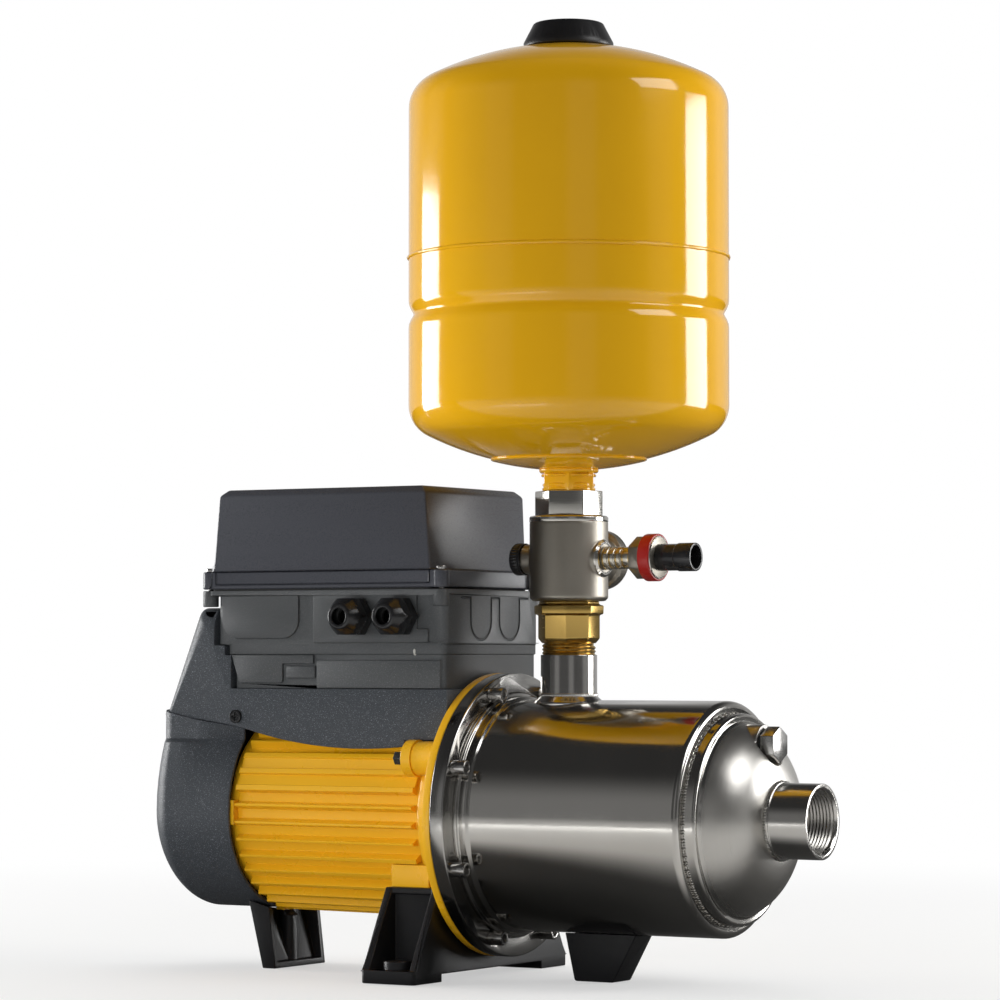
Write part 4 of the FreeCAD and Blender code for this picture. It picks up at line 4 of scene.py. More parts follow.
import bpy
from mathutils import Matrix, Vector

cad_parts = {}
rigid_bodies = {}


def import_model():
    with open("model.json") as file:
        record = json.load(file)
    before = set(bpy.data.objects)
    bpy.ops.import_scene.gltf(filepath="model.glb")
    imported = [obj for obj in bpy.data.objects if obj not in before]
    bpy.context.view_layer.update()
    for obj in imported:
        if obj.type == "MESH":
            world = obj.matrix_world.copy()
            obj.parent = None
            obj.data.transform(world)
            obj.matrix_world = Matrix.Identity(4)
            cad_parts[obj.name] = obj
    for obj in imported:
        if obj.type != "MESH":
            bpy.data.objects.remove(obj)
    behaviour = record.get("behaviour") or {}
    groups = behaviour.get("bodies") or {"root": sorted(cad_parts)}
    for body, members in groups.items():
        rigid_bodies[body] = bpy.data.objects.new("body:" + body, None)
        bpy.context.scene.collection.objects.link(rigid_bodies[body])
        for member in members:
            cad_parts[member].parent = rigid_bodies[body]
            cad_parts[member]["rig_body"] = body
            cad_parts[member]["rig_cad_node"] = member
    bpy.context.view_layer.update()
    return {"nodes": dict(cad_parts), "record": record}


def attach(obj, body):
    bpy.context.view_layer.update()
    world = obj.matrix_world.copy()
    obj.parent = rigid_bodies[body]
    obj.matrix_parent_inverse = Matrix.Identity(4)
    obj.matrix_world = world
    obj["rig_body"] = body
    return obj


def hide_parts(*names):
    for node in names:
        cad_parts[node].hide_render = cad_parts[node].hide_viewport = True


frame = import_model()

# Sizes that the pieces share, in metres
MM = 0.001
AXIS_HEIGHT = 0.104
COLUMN_X = 0.077

# Places that turned pieces stand at, in mm
PUMP_AXIS = (0, 0, 104)
COLUMN = (77, 0, 0)
CROSS = (77, 0, 268.5)

# The way from the object to the camera, on the floor, and round the vertical in degrees
CAMERA_SIDE = (0.515, -0.857)
CAMERA_AZIMUTH = -59.0


# Camera, floor and light


def set_camera():
    """Looks at the object from where the photo was taken."""
    bpy.ops.object.camera_add(location=(1.3225, -2.1486, 0.2054))
    camera = bpy.context.object
    camera.rotation_euler = (math.radians(92.326), 0, math.radians(31.12))
    camera.data.lens = 139.34
    camera.data.sensor_width = 36
    camera.data.clip_end = 60
    bpy.context.scene.camera = camera


def lay_floor():
    """A pale floor that takes the object's shadow; in the object's mirrors it shows a painted shadow, dark
    close by, pale in front.
    """
    bpy.ops.mesh.primitive_circle_add(vertices=96, radius=9, fill_type="NGON", location=(0, 0, -0.0005))
    floor = bpy.context.object
    floor.name = "floor"
    paint = Finish("floor_card", Roughness=0.9)
    paint.set("Specular IOR Level", 0.1)
    seen = paint.ray("Camera")
    glossy = paint.ray("Glossy")
    in_front = paint.towards(paint.place(), (*CAMERA_SIDE, 0))
    # Painted shadow: seen in the object's mirrors, the floor's colour drops to 0.07 behind a line just in
    # front of the object and is pale beyond it.
    mirrored_painted_shadow_tone = paint.eased(in_front, 0.15, 0.24, 0.07, 0.8)
    bounced_tone = 0.3
    unseen_tone = glossy * mirrored_painted_shadow_tone + (1 - glossy) * bounced_tone
    unseen = paint.mixed(unseen_tone, (0, 0, 0, 1), (1, 1, 0.99, 1))
    paint.set("Base Color", paint.mixed(seen, unseen, (0.86, 0.86, 0.85, 1)))
    away = paint.node("ShaderNodeVectorMath", {"operation": "LENGTH"}, paint.place(), output="Value")
    glow_share = paint.eased(away, 0.3, 1.5, 0.5, 1.0)
    glow = paint.node("ShaderNodeEmission", {}, Color=(1, 1, 1, 1), Strength=1.0)
    paint.finish_with(glow, seen * glow_share)
    floor.data.materials.append(paint.material)


def light_world():
    """White behind the object, and a studio that is dimmer above and on the camera's side."""
    world = bpy.data.worlds.new("studio")
    bpy.context.scene.world = world
    world.use_nodes = True
    sky = Finish.of_world(world)
    direction = sky.node("ShaderNodeTexCoord", {}, output="Generated")
    facing = sky.towards(direction, (*CAMERA_SIDE, 0.02))
    soft = sky.eased(facing, -0.5, 0.5, 0.62, 0.11)
    behind = sky.eased(facing, -0.85, -0.45, 1.0, 0.0)
    low = sky.eased(sky.part(direction, "Z"), 0.25, 0.7, 1.0, 0.0)
    depth, across = sky.part(direction, "Y"), sky.part(direction, "X")
    azimuth = sky.node("ShaderNodeMath", {"operation": "ARCTAN2"}, depth, across)
    wave = azimuth.maths("SINE", azimuth * 6 + 0.6)
    panels = sky.eased(wave, 0.1, 0.9, 0.0, 1.0)
    mirrored = 0.04 + 0.06 * low + panels * low * 0.16 + behind * low * 0.4
    glossy = sky.ray("Glossy")
    level = glossy * mirrored + (1 - glossy) * soft
    camera = sky.ray("Camera")
    white = camera.maths("MAXIMUM", camera, sky.ray("Transmission"))
    background = sky.tree.nodes["Background"]
    sky.feed(background.inputs["Color"], (1, 1, 1, 1))
    sky.feed(background.inputs["Strength"], white + (1 - white) * level)


def softbox(name, angle, distance, height, width, tall, power, mirrored=True):
    """A rectangular lamp on a circle round the object, angle 0 behind the camera."""
    middle_x, high_lamp, high_aim = 0.03, 1, 0.3
    turn = math.radians(angle + CAMERA_AZIMUTH)
    place = Vector((middle_x + distance * math.cos(turn), distance * math.sin(turn), height))
    bpy.ops.object.light_add(type="AREA", location=place)
    lamp = bpy.context.object
    lamp.name = name
    lamp.data.shape = "RECTANGLE"
    lamp.data.size = width
    lamp.data.size_y = tall
    lamp.data.energy = power
    lamp.visible_camera = False
    lamp.visible_glossy = mirrored
    aim = Vector((middle_x, 0, high_aim if height > high_lamp else height)) - place
    lamp.rotation_euler = aim.to_track_quat("-Z", "Y").to_euler()


def set_lamps():
    """Each lamp's angle, distance, height, width, tallness and watts."""
    softbox("right_strip", 100, 1.7, 0.42, 0.7, 0.84, 17)
    softbox("left_strip", -116, 1.7, 0.36, 0.7, 0.72, 17)
    softbox("left_wall", -74, 2.6, 1.1, 1.6, 1.6, 17, mirrored=False)
    softbox("right_top", 66, 1.5, 1.2, 0.9, 0.7, 9)
    softbox("ceiling", 160, 0.9, 2.4, 1.6, 1.6, 12, mirrored=False)
    softbox("low_front", -34, 0.85, 0.09, 0.6, 0.16, 2.6, mirrored=False)


# Finishes


class Signal:
    """A socket's value: Python's operators on it add maths nodes."""

    def __init__(self, finish, socket):
        self.finish = finish
        self.socket = socket

    def maths(self, operation, *terms):
        return self.finish.node("ShaderNodeMath", {"operation": operation}, *terms)

    def __add__(self, other):
        return self.maths("ADD", self, other)

    def __rsub__(self, other):
        return self.maths("SUBTRACT", other, self)

    def __mul__(self, other):
        return self.maths("MULTIPLY", self, other)

    __radd__ = __add__
    __rmul__ = __mul__


class Finish:
    """A material, or the world, under construction."""

    def __init__(self, name, **fixed):
        self.material = bpy.data.materials.new(name)
        self.material.use_nodes = True
        self.tree = self.material.node_tree
        self.shader = self.tree.nodes["Principled BSDF"]
        for socket, value in fixed.items():
            self.set(socket, value)

    @classmethod
    def of_world(cls, world):
        made = cls.__new__(cls)
        made.tree = world.node_tree
        return made

    def node(self, kind, settings, *values, output=0, **named):
        """Adds a node: its settings first, then what its sockets hold or are fed by."""
        made = self.tree.nodes.new(kind)
        for key, value in settings.items():
            setattr(made, key, value)
        for index, value in enumerate(values):
            self.feed(made.inputs[index], value)
        for key, value in named.items():
            self.feed(made.inputs[key.replace("_", " ")], value)
        return Signal(self, made.outputs[output])

    def feed(self, socket, value):
        if isinstance(value, Signal):
            self.tree.links.new(value.socket, socket)
        else:
            socket.default_value = value

    def set(self, socket, value):
        self.feed(self.shader.inputs[socket.replace("_", " ")], value)

    def place(self, stretch=(1, 1, 1), centre=(0, 0, 0)):
        """Object coordinates, moved and stretched."""
        coordinates = self.node("ShaderNodeTexCoord", {}, output="Object")
        moved = self.node("ShaderNodeMapping", {}, coordinates, [-c for c in centre])
        return self.node("ShaderNodeMapping", {}, moved, Scale=stretch)

    def part(self, vector, axis):
        return self.node("ShaderNodeSeparateXYZ", {}, vector, output=axis)

    def towards(self, vector, way):
        """How far a vector reaches along a way."""
        product = {"operation": "DOT_PRODUCT"}
        return self.node("ShaderNodeVectorMath", product, vector, way, output="Value")

    def ray(self, kind):
        return self.node("ShaderNodeLightPath", {}, output=f"Is {kind} Ray")

    def noise(self, scale, detail=2.0, roughness=0.5, stretch=(1, 1, 1)):
        texture = {"Scale": scale, "Detail": detail, "Roughness": roughness}
        return self.node("ShaderNodeTexNoise", {}, Vector=self.place(stretch), **texture)

    def mixed(self, share, low, high):
        made = self.tree.nodes.new("ShaderNodeMix")
        made.data_type = "RGBA"
        self.feed(made.inputs[0], share)
        self.feed(made.inputs[6], low)
        self.feed(made.inputs[7], high)
        return Signal(self, made.outputs[2])

    def bump(self, height, strength, distance=0.0005):
        raised = self.node("ShaderNodeBump", {}, Strength=strength, Distance=distance, Height=height)
        self.set("Normal", raised)

    def ranged(self, value, low, high, out_low, out_high):
        return self.node("ShaderNodeMapRange", {}, value, low, high, out_low, out_high)

    def eased(self, value, low, high, out_low, out_high):
        curve = {"interpolation_type": "SMOOTHSTEP"}
        return self.node("ShaderNodeMapRange", curve, value, low, high, out_low, out_high)

    def roughen(self, value, low, high):
        """Roughness between two limits, following a noise that is mostly between 0.3 and 0.7."""
        self.set("Roughness", self.ranged(value, 0.3, 0.7, low, high))

    def finish_with(self, other, share):
        """Mixes another shader over the main one."""
        output = self.tree.nodes["Material Output"]
        blend = self.node("ShaderNodeMixShader", {}, share)
        mixer = blend.socket.node
        self.tree.links.new(self.shader.outputs[0], mixer.inputs[1])
        self.tree.links.new(other.socket, mixer.inputs[2])
        self.tree.links.new(mixer.outputs[0], output.inputs["Surface"])


def enamel(name, light, deep, roughness, peel):
    """Glossy paint: slow drifts of tone and a faint orange peel."""
    paint = Finish(name, Coat_Roughness=0.04)
    paint.set("Coat Weight", 0.3)
    paint.set("Base Color", paint.mixed(paint.noise(14, 2), light, deep))
    paint.roughen(paint.noise(60, 3), roughness - 0.02, roughness + 0.03)
    paint.bump(paint.noise(420, 2) + paint.noise(60, 2), peel)
    return paint.material


def grained_plastic(name, base, painted_glint_colour, roughness, grain, scale):
    """Moulded plastic with an eroded grain, and small lighter specks painted into its colour as glints."""
    skin = Finish(name)
    pebble = skin.noise(scale, 3, 0.6)
    painted_glint = skin.ranged(skin.noise(scale * 1.7, 2), 0.6, 0.74, 0, 1)
    # Painted glints: lighter specks of colour wherever a finer noise runs high.
    skin.set("Base Color", skin.mixed(painted_glint, base, painted_glint_colour))
    skin.roughen(pebble, roughness - 0.1, roughness + 0.12)
    skin.bump(pebble, grain)
    return skin.material


def polished_metal(name, light, deep, roughness, brush, stretch, satin_from=None):
    """Metal whose fine lines run across the stretched axis, and satin beyond a place along X."""
    cloud, satin_edge, satin_more = 0.05, 0.002, 0.2
    metal = Finish(name, Metallic=1.0)
    lines = metal.noise(1.0, 3, 0.7, stretch)
    haze = metal.noise(26, 3)
    metal.set("Base Color", metal.mixed(haze * 0.6 + lines * 0.4, deep, light))
    sheen = metal.ranged(lines * 0.5 + haze * 0.5, 0.3, 0.7, roughness - cloud, roughness + cloud)
    if satin_from:
        along = metal.part(metal.place(), "X")
        sheen = sheen + metal.ranged(along, satin_from, satin_from + satin_edge, 0, satin_more)
    metal.set("Roughness", sheen)
    metal.bump(lines, brush, 0.0002)
    return metal.material


def banded_metal(name, plate, brass, roughness):
    """Plated turning whose grooves show the brass under the nickel."""
    middle_x, pitch = 0.1092, 0.0047
    metal = Finish(name, Metallic=1.0)
    along = metal.part(metal.place(centre=(middle_x, 0, 0)), "X")
    band = along.maths("SINE", along * (math.tau / pitch))
    worn = metal.ranged(band + metal.noise(300, 3) * 0.4, 0.75, 1.1, 0, 1)
    metal.set("Base Color", metal.mixed(worn, plate, brass))
    metal.roughen(metal.noise(120, 2), roughness - 0.04, roughness + 0.08)
    metal.bump(metal.noise(1.0, 2, 0.6, ROUND_X), 0.05, 0.0002)
    return metal.material


def plain_gloss(name, colour, deep, roughness, grain=0.03, metallic=0.0):
    """A smooth moulded or dipped finish with a little unevenness."""
    skin = Finish(name, Metallic=metallic)
    cloud = skin.noise(90, 3)
    skin.set("Base Color", skin.mixed(cloud, colour, deep))
    skin.roughen(cloud, roughness - 0.04, roughness + 0.06)
    skin.bump(skin.noise(700, 2), grain)
    return skin.material


# Stretches that lay fine lines round X, round Z or in no direction
ROUND_X, ROUND_Z, EVEN = (1600, 9, 9), (9, 9, 1600), (500, 500, 500)

# Each finish: its kind, two colours, the roughness, and then what the kind takes
FINISH_VALUES = {
    "vessel_yellow": (enamel, (0.95, 0.50, 0.006, 1), (0.90, 0.46, 0.005, 1), 0.1, 0.02),
    "cast_yellow": (enamel, (0.92, 0.50, 0.016, 1), (0.86, 0.45, 0.012, 1), 0.28, 0.01),
    # For the grained plastics, the second colour is the colour of the painted glints.
    "cowl_black": (grained_plastic, (0.050, 0.056, 0.064, 1), (0.30, 0.32, 0.36, 1), 0.46, 0.4, 1150),
    "box_black": (grained_plastic, (0.068, 0.072, 0.075, 1), (0.20, 0.205, 0.21, 1), 0.44, 0.3, 1400),
    "lid_black": (grained_plastic, (0.058, 0.061, 0.073, 1), (0.084, 0.088, 0.102, 1), 0.3, 0.06, 2200),
    "foot_black": (grained_plastic, (0.010, 0.010, 0.011, 1), (0.022, 0.022, 0.024, 1), 0.4, 0.1, 1800),
    "gloss_black": (plain_gloss, (0.009, 0.009, 0.010, 1), (0.014, 0.014, 0.015, 1), 0.22),
    "cap_black": (plain_gloss, (0.010, 0.010, 0.011, 1), (0.016, 0.016, 0.018, 1), 0.38, 0.05),
    "casing_steel": (
        polished_metal, (0.56, 0.545, 0.515, 1), (0.47, 0.455, 0.43, 1), 0.12, 0.05, ROUND_X, 0.2035
    ),
    "ring_steel": (polished_metal, (0.50, 0.49, 0.47, 1), (0.38, 0.37, 0.355, 1), 0.15, 0.06, ROUND_X),
    "socket_steel": (polished_metal, (0.60, 0.585, 0.56, 1), (0.48, 0.465, 0.44, 1), 0.15, 0.08, ROUND_Z),
    "screw_steel": (polished_metal, (0.56, 0.55, 0.53, 1), (0.42, 0.41, 0.40, 1), 0.24, 0.05, EVEN),
    "satin_nickel": (
        polished_metal, (0.38, 0.35, 0.305, 1), (0.30, 0.28, 0.24, 1), 0.4, 0.12, (420, 420, 420)
    ),
    "bright_nickel": (polished_metal, (0.66, 0.64, 0.60, 1), (0.56, 0.54, 0.50, 1), 0.14, 0.05, ROUND_Z),
    "valve_brass": (polished_metal, (0.62, 0.42, 0.13, 1), (0.48, 0.31, 0.085, 1), 0.24, 0.06, ROUND_Z),
    "nipple_brass": (polished_metal, (0.62, 0.46, 0.22, 1), (0.50, 0.38, 0.20, 1), 0.2, 0.05, ROUND_X),
    "banded_nickel": (banded_metal, (0.58, 0.55, 0.48, 1), (0.70, 0.48, 0.16, 1), 0.22),
    "ring_red": (plain_gloss, (0.42, 0.012, 0.008, 1), (0.34, 0.01, 0.007, 1), 0.32, 0.06),
    "rubber": (plain_gloss, (0.012, 0.012, 0.012, 1), (0.02, 0.02, 0.02, 1), 0.7, 0.15),
    "ground_steel": (polished_metal, (0.55, 0.55, 0.55, 1), (0.45, 0.45, 0.46, 1), 0.2, 0.06, ROUND_X),
    "core_plates": (polished_metal, (0.16, 0.17, 0.18, 1), (0.09, 0.095, 0.1, 1), 0.45, 0.4, (2000, 20, 20)),
    "copper_wire": (plain_gloss, (0.42, 0.12, 0.045, 1), (0.3, 0.08, 0.03, 1), 0.3, 0.3, 0.9),
    "seal_white": (plain_gloss, (0.5, 0.49, 0.46, 1), (0.44, 0.43, 0.40, 1), 0.3, 0.02),
    "board_green": (plain_gloss, (0.02, 0.12, 0.05, 1), (0.015, 0.09, 0.035, 1), 0.35, 0.05),
}
FINISHES = {}


def make_finishes():
    for name, (make, *values) in FINISH_VALUES.items():
        FINISHES[name] = make(name, *values)


# The CAD parts that each finish is for
NODE_FINISHES = {
    "vessel_yellow": "tank_neck tank_lower_shell tank_upper_shell",
    "cast_yellow": "motor_bracket motor_housing end_shield",
    "cowl_black": "fan_cowl upper_cowl cooling_fan",
    "box_black": "controller_base",
    "lid_black": "controller_lid",
    "foot_black": "main_foot pump_foot rear_foot",
    "gloss_black": "cowl_screws gland_bodies gland_nuts blanking_plug sensor_connector",
    "cap_black": "valve_cap",
    "casing_steel": "pump_casing impellers diffusers suction_plate seal_plate",
    "ring_steel": "clamp_ring",
    "socket_steel": "outlet_socket inlet_socket",
    "screw_steel": "flange_screws bracket_screws priming_plug impeller_nut tie_bolts lid_screws foot_screws"
    " poppet_spring air_valve_pin",
    "satin_nickel": "five_way_body sensor_body",
    "bright_nickel": "hex_nipple",
    "valve_brass": "check_valve_body valve_seat poppet air_valve_body",
    "nipple_brass": "sensor_nipple",
    "ring_red": "sensor_ring",
    "rubber": "plug_washer casing_o_ring lid_gasket gland_seals diaphragm",
    "ground_steel": "shaft seal_ring bearing_outer_rings bearing_inner_rings",
    "core_plates": "stator_core rotor",
    "copper_wire": "windings",
    "seal_white": "seal_seat",
    "board_green": "circuit_board",
}


def finish_nodes():
    for finish, nodes in NODE_FINISHES.items():
        for node in nodes.split():
            slots = frame["nodes"][node].data.materials
            slots.clear()
            slots.append(FINISHES[finish])


# Making pieces

# The turns in degrees that bring a form made about Z to an axis
TURNS = {
    "X": (0, 90, 0),
    "-X": (0, -90, 0),
    "Y": (-90, 0, 0),
    "Z": (0, 0, 0),
}


def take(*pieces):
    """Makes these the selected objects, the first of them active."""
    bpy.ops.object.select_all(action="DESELECT")
    for piece in pieces:
        piece.select_set(True)
    bpy.context.view_layer.objects.active = pieces[0]


def apply_modifier(piece, kind, **settings):
    take(piece)
    modifier = piece.modifiers.new(kind.lower(), kind)
    for key, value in settings.items():
        setattr(modifier, key, value)
    bpy.ops.object.modifier_apply(modifier=modifier.name)


def smooth(piece, degrees=32):
    take(piece)
    bpy.ops.object.shade_smooth_by_angle(angle=math.radians(degrees))


def soften(piece, width, segments=2, degrees=35):
    """Breaks the sharp edges with a small radius."""
    apply_modifier(
        piece,
        "BEVEL",
        width=width * MM,
        segments=segments,
        limit_method="ANGLE",
        angle_limit=math.radians(degrees),
        use_clamp_overlap=False,
    )


def lump(piece, grain, strength):
    """Pushes a surface in and out at random, as weld metal and paint runs are."""
    texture = bpy.data.textures.new(piece.name + "_lumps", "CLOUDS")
    texture.noise_scale = grain * MM
    apply_modifier(piece, "DISPLACE", texture=texture, strength=strength * MM, mid_level=0.5)


def merged(*pieces):
    take(*pieces)
    bpy.ops.object.join()
    return bpy.context.object


def stand(piece, at, axis="Z"):
    """Turns a form made about Z to its axis and moves it to its place, in mm."""
    take(piece)
    piece.rotation_euler = [math.radians(angle) for angle in TURNS[axis]]
    piece.location = [c * MM for c in at]
    bpy.ops.object.transform_apply(location=True, rotation=True, scale=True)
    return piece


def settle(piece, name, finish, slot, body="pump", nodes=()):
    """Names a finished piece, gives it its finish and ties it to its body."""
    take(piece)
    bpy.ops.object.transform_apply(location=True, rotation=True, scale=True)
    piece.name = name
    piece.data.name = name
    piece.data.materials.clear()
    piece.data.materials.append(FINISHES[finish])
    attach(piece, body)
    if nodes:
        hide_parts(*nodes)
    return piece


def erect(piece, at, axis, degrees, *tags, nodes=()):
    """Stands a turned form at its place, smooths it, and settles it with its name and finish."""
    smooth(stand(piece, at, axis), degrees)
    settle(piece, *tags, nodes=nodes)


def lathe(stations, steps=96, hollow=False):
    """A form turned about Z through (height, radius) stations in mm; a hollow one ends where it began."""
    height, radius = stations[0]
    bpy.ops.mesh.primitive_circle_add(
        vertices=steps,
        radius=radius * MM,
        fill_type="NOTHING" if hollow else "NGON",
        location=(0, 0, height * MM),
    )
    piece = bpy.context.object
    bpy.ops.object.mode_set(mode="EDIT")
    for next_height, next_radius in stations[1:]:
        rise = (next_height - height) * MM
        bpy.ops.mesh.extrude_region_move(TRANSFORM_OT_translate={"value": (0, 0, rise)})
        share = next_radius / radius
        bpy.ops.transform.resize(value=(share, share, 1), center_override=(0, 0, next_height * MM))
        height, radius = next_height, next_radius
    bpy.ops.mesh.select_all(action="SELECT")
    bpy.ops.mesh.remove_doubles(threshold=1e-6)
    bpy.ops.mesh.normals_make_consistent(inside=False)
    bpy.ops.object.mode_set(mode="OBJECT")
    bpy.ops.object.transform_apply(location=True, rotation=False, scale=False)
    return piece


def tube(stations, steps=96):
    """A hollow form turned about Z: the loop of stations closes on its first one."""
    return lathe(stations + stations[:1], steps, hollow=True)


def arc(middle, radius, start, stop, count):
    """Stations on an arc round (height, radius): 0 degrees points up the axis, 90 outwards."""
    turns = [math.radians(start + (stop - start) * k / count) for k in range(count + 1)]
    return [(middle[0] + radius * math.cos(t), middle[1] + radius * math.sin(t)) for t in turns]


def round_ring(radius, thickness, height, steps=120, sides=10):
    """A round-section ring about Z."""
    bpy.ops.mesh.primitive_torus_add(
        major_segments=steps,
        minor_segments=sides,
        major_radius=radius * MM,
        minor_radius=thickness * MM,
        location=(0, 0, height * MM),
    )
    piece = bpy.context.object
    bpy.ops.object.transform_apply(location=True, rotation=False, scale=False)
    return piece


def weld(radius, width, count, height):
    """Overlapping scales about Z, as a weld leaves them: flat, leaning and of uneven reach."""
    flat, lean, uneven = (0.55, 0.75, 1.0), 0.35, 0.006
    bpy.ops.mesh.primitive_uv_sphere_add(
        segments=10, ring_count=6, radius=width * MM, location=(radius * MM, 0, height * MM)
    )
    first = bpy.context.object
    bpy.ops.object.mode_set(mode="EDIT")
    bpy.ops.transform.resize(value=flat, center_override=first.location)
    bpy.ops.transform.rotate(value=lean, orient_axis="Z", center_override=first.location)
    bpy.ops.object.mode_set(mode="OBJECT")
    bpy.ops.object.transform_apply(location=True, rotation=False, scale=False)
    scales = [first]
    for k in range(1, count):
        scale = first.copy()
        scale.data = first.data.copy()
        bpy.context.scene.collection.objects.link(scale)
        scale.rotation_euler[2] = math.tau * k / count
        swell = 1 + uneven * math.sin(k * 2.3)
        scale.scale = (swell, swell, 1)
        scales.append(scale)
    return merged(*scales)


def thread(radius, depth, pitch, turns, start):
    """A screw thread's ridge about Z: a four-sided section swept up a helix."""
    half = pitch * 0.46
    bpy.ops.mesh.primitive_circle_add(
        vertices=4,
        radius=half * MM,
        fill_type="NOTHING",
        rotation=(math.pi / 2, 0, 0),
        location=(radius * MM, 0, start * MM),
    )
    ridge = bpy.context.object
    bpy.ops.object.mode_set(mode="EDIT")
    bpy.ops.transform.resize(value=(depth / half, 1, 1), center_override=ridge.location)
    bpy.ops.object.mode_set(mode="OBJECT")
    bpy.ops.object.transform_apply(location=True, rotation=True, scale=False)
    sweep = {"axis": "Z", "screw_offset": pitch * MM, "iterations": turns, "steps": 64, "render_steps": 64}
    apply_modifier(ridge, "SCREW", **sweep)
    close_ends(ridge)
    return ridge


def close_ends(piece):
    """Puts faces over the open ends of a swept form."""
    take(piece)
    bpy.ops.object.mode_set(mode="EDIT")
    bpy.ops.mesh.select_all(action="DESELECT")
    bpy.ops.mesh.select_non_manifold()
    bpy.ops.mesh.edge_face_add()
    bpy.ops.mesh.select_all(action="SELECT")
    bpy.ops.mesh.normals_make_consistent(inside=False)
    bpy.ops.object.mode_set(mode="OBJECT")


def pick(piece, wanted):
    """Selects the vertices that a test of their place wants; leaves edit mode on."""
    take(piece)
    bpy.ops.object.mode_set(mode="EDIT")
    bpy.ops.mesh.select_mode(type="VERT")
    bpy.ops.mesh.select_all(action="DESELECT")
    bpy.ops.object.mode_set(mode="OBJECT")
    for vertex in piece.data.vertices:
        vertex.select = wanted(vertex)
    bpy.ops.object.mode_set(mode="EDIT")


def everywhere(vertex):
    return True


def resize(piece, wanted, value, middle):
    pick(piece, wanted)
    bpy.ops.transform.resize(value=value, center_override=middle)
    bpy.ops.object.mode_set(mode="OBJECT")


def shift(piece, wanted, x=0.0, y=0.0, z=0.0):
    """Moves the wanted vertices, in mm."""
    pick(piece, wanted)
    bpy.ops.transform.translate(value=(x * MM, y * MM, z * MM))
    bpy.ops.object.mode_set(mode="OBJECT")


def flute(piece, low, high, every, share):
    """Draws in every few vertices of a ring between two heights, as knurling does."""
    groove = 0.26

    def on_flute(vertex):
        turn = math.atan2(vertex.co.y, vertex.co.x) / math.tau * every
        deep = abs(turn - round(turn)) < groove
        return deep and low * MM < vertex.co.z < high * MM

    resize(piece, on_flute, (share, share, 1), (0, 0, 0))


def bar(x, y, z):
    """A block between low and high corners in mm, as a tool to cut with."""
    bpy.ops.mesh.primitive_cube_add(size=1, location=[(a + b) / 2 * MM for a, b in (x, y, z)])
    block = bpy.context.object
    block.scale = [(b - a) * MM for a, b in (x, y, z)]
    bpy.ops.object.transform_apply(location=True, rotation=False, scale=True)
    return block


def cut(piece, tool):
    apply_modifier(piece, "BOOLEAN", operation="DIFFERENCE", object=tool, solver="EXACT")
    bpy.data.objects.remove(tool)


def record_slot(node):
    rows = frame["record"]["subparts"]
    return [row["material_slot"] for row in rows if row["node"] == node][0]


def body_with(node):
    return frame["nodes"][node]["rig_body"]


def copied(node, flat=0.3):
    """A copy of a CAD part with its doubled points merged and its flat faces whole."""
    source = frame["nodes"][node]
    piece = source.copy()
    piece.data = source.data.copy()
    piece.parent = None
    del piece["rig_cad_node"]
    del piece["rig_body"]
    bpy.context.scene.collection.objects.link(piece)
    take(piece)
    bpy.ops.mesh.customdata_custom_splitnormals_clear()
    bpy.ops.object.mode_set(mode="EDIT")
    bpy.ops.mesh.select_all(action="SELECT")
    bpy.ops.mesh.remove_doubles(threshold=2e-6)
    if flat:
        bpy.ops.mesh.dissolve_limited(angle_limit=math.radians(flat))
    bpy.ops.mesh.normals_make_consistent(inside=False)
    bpy.ops.object.mode_set(mode="OBJECT")
    return piece


def dressed(node, finish, edge=0.4, segments=2, angle=32, shape=None):
    """A CAD part with its edges broken as on the real one, held inside the box it had."""
    piece = copied(node)
    if shape:
        shape(piece)
    places = [vertex.co.copy() for vertex in piece.data.vertices]
    low, high = [[side(place[k] for place in places) for k in range(3)] for side in (min, max)]
    soften(piece, edge, segments)
    for vertex in piece.data.vertices:
        vertex.co = [min(max(c, a), b) for c, a, b in zip(vertex.co, low, high)]
    smooth(piece, angle)
    settle(piece, node + "_finished", finish, record_slot(node), body_with(node), [node])


# The pressure vessel


def crown(radius, middle, start, stop, count=14):
    return arc((middle, 0), radius, start, stop, count)


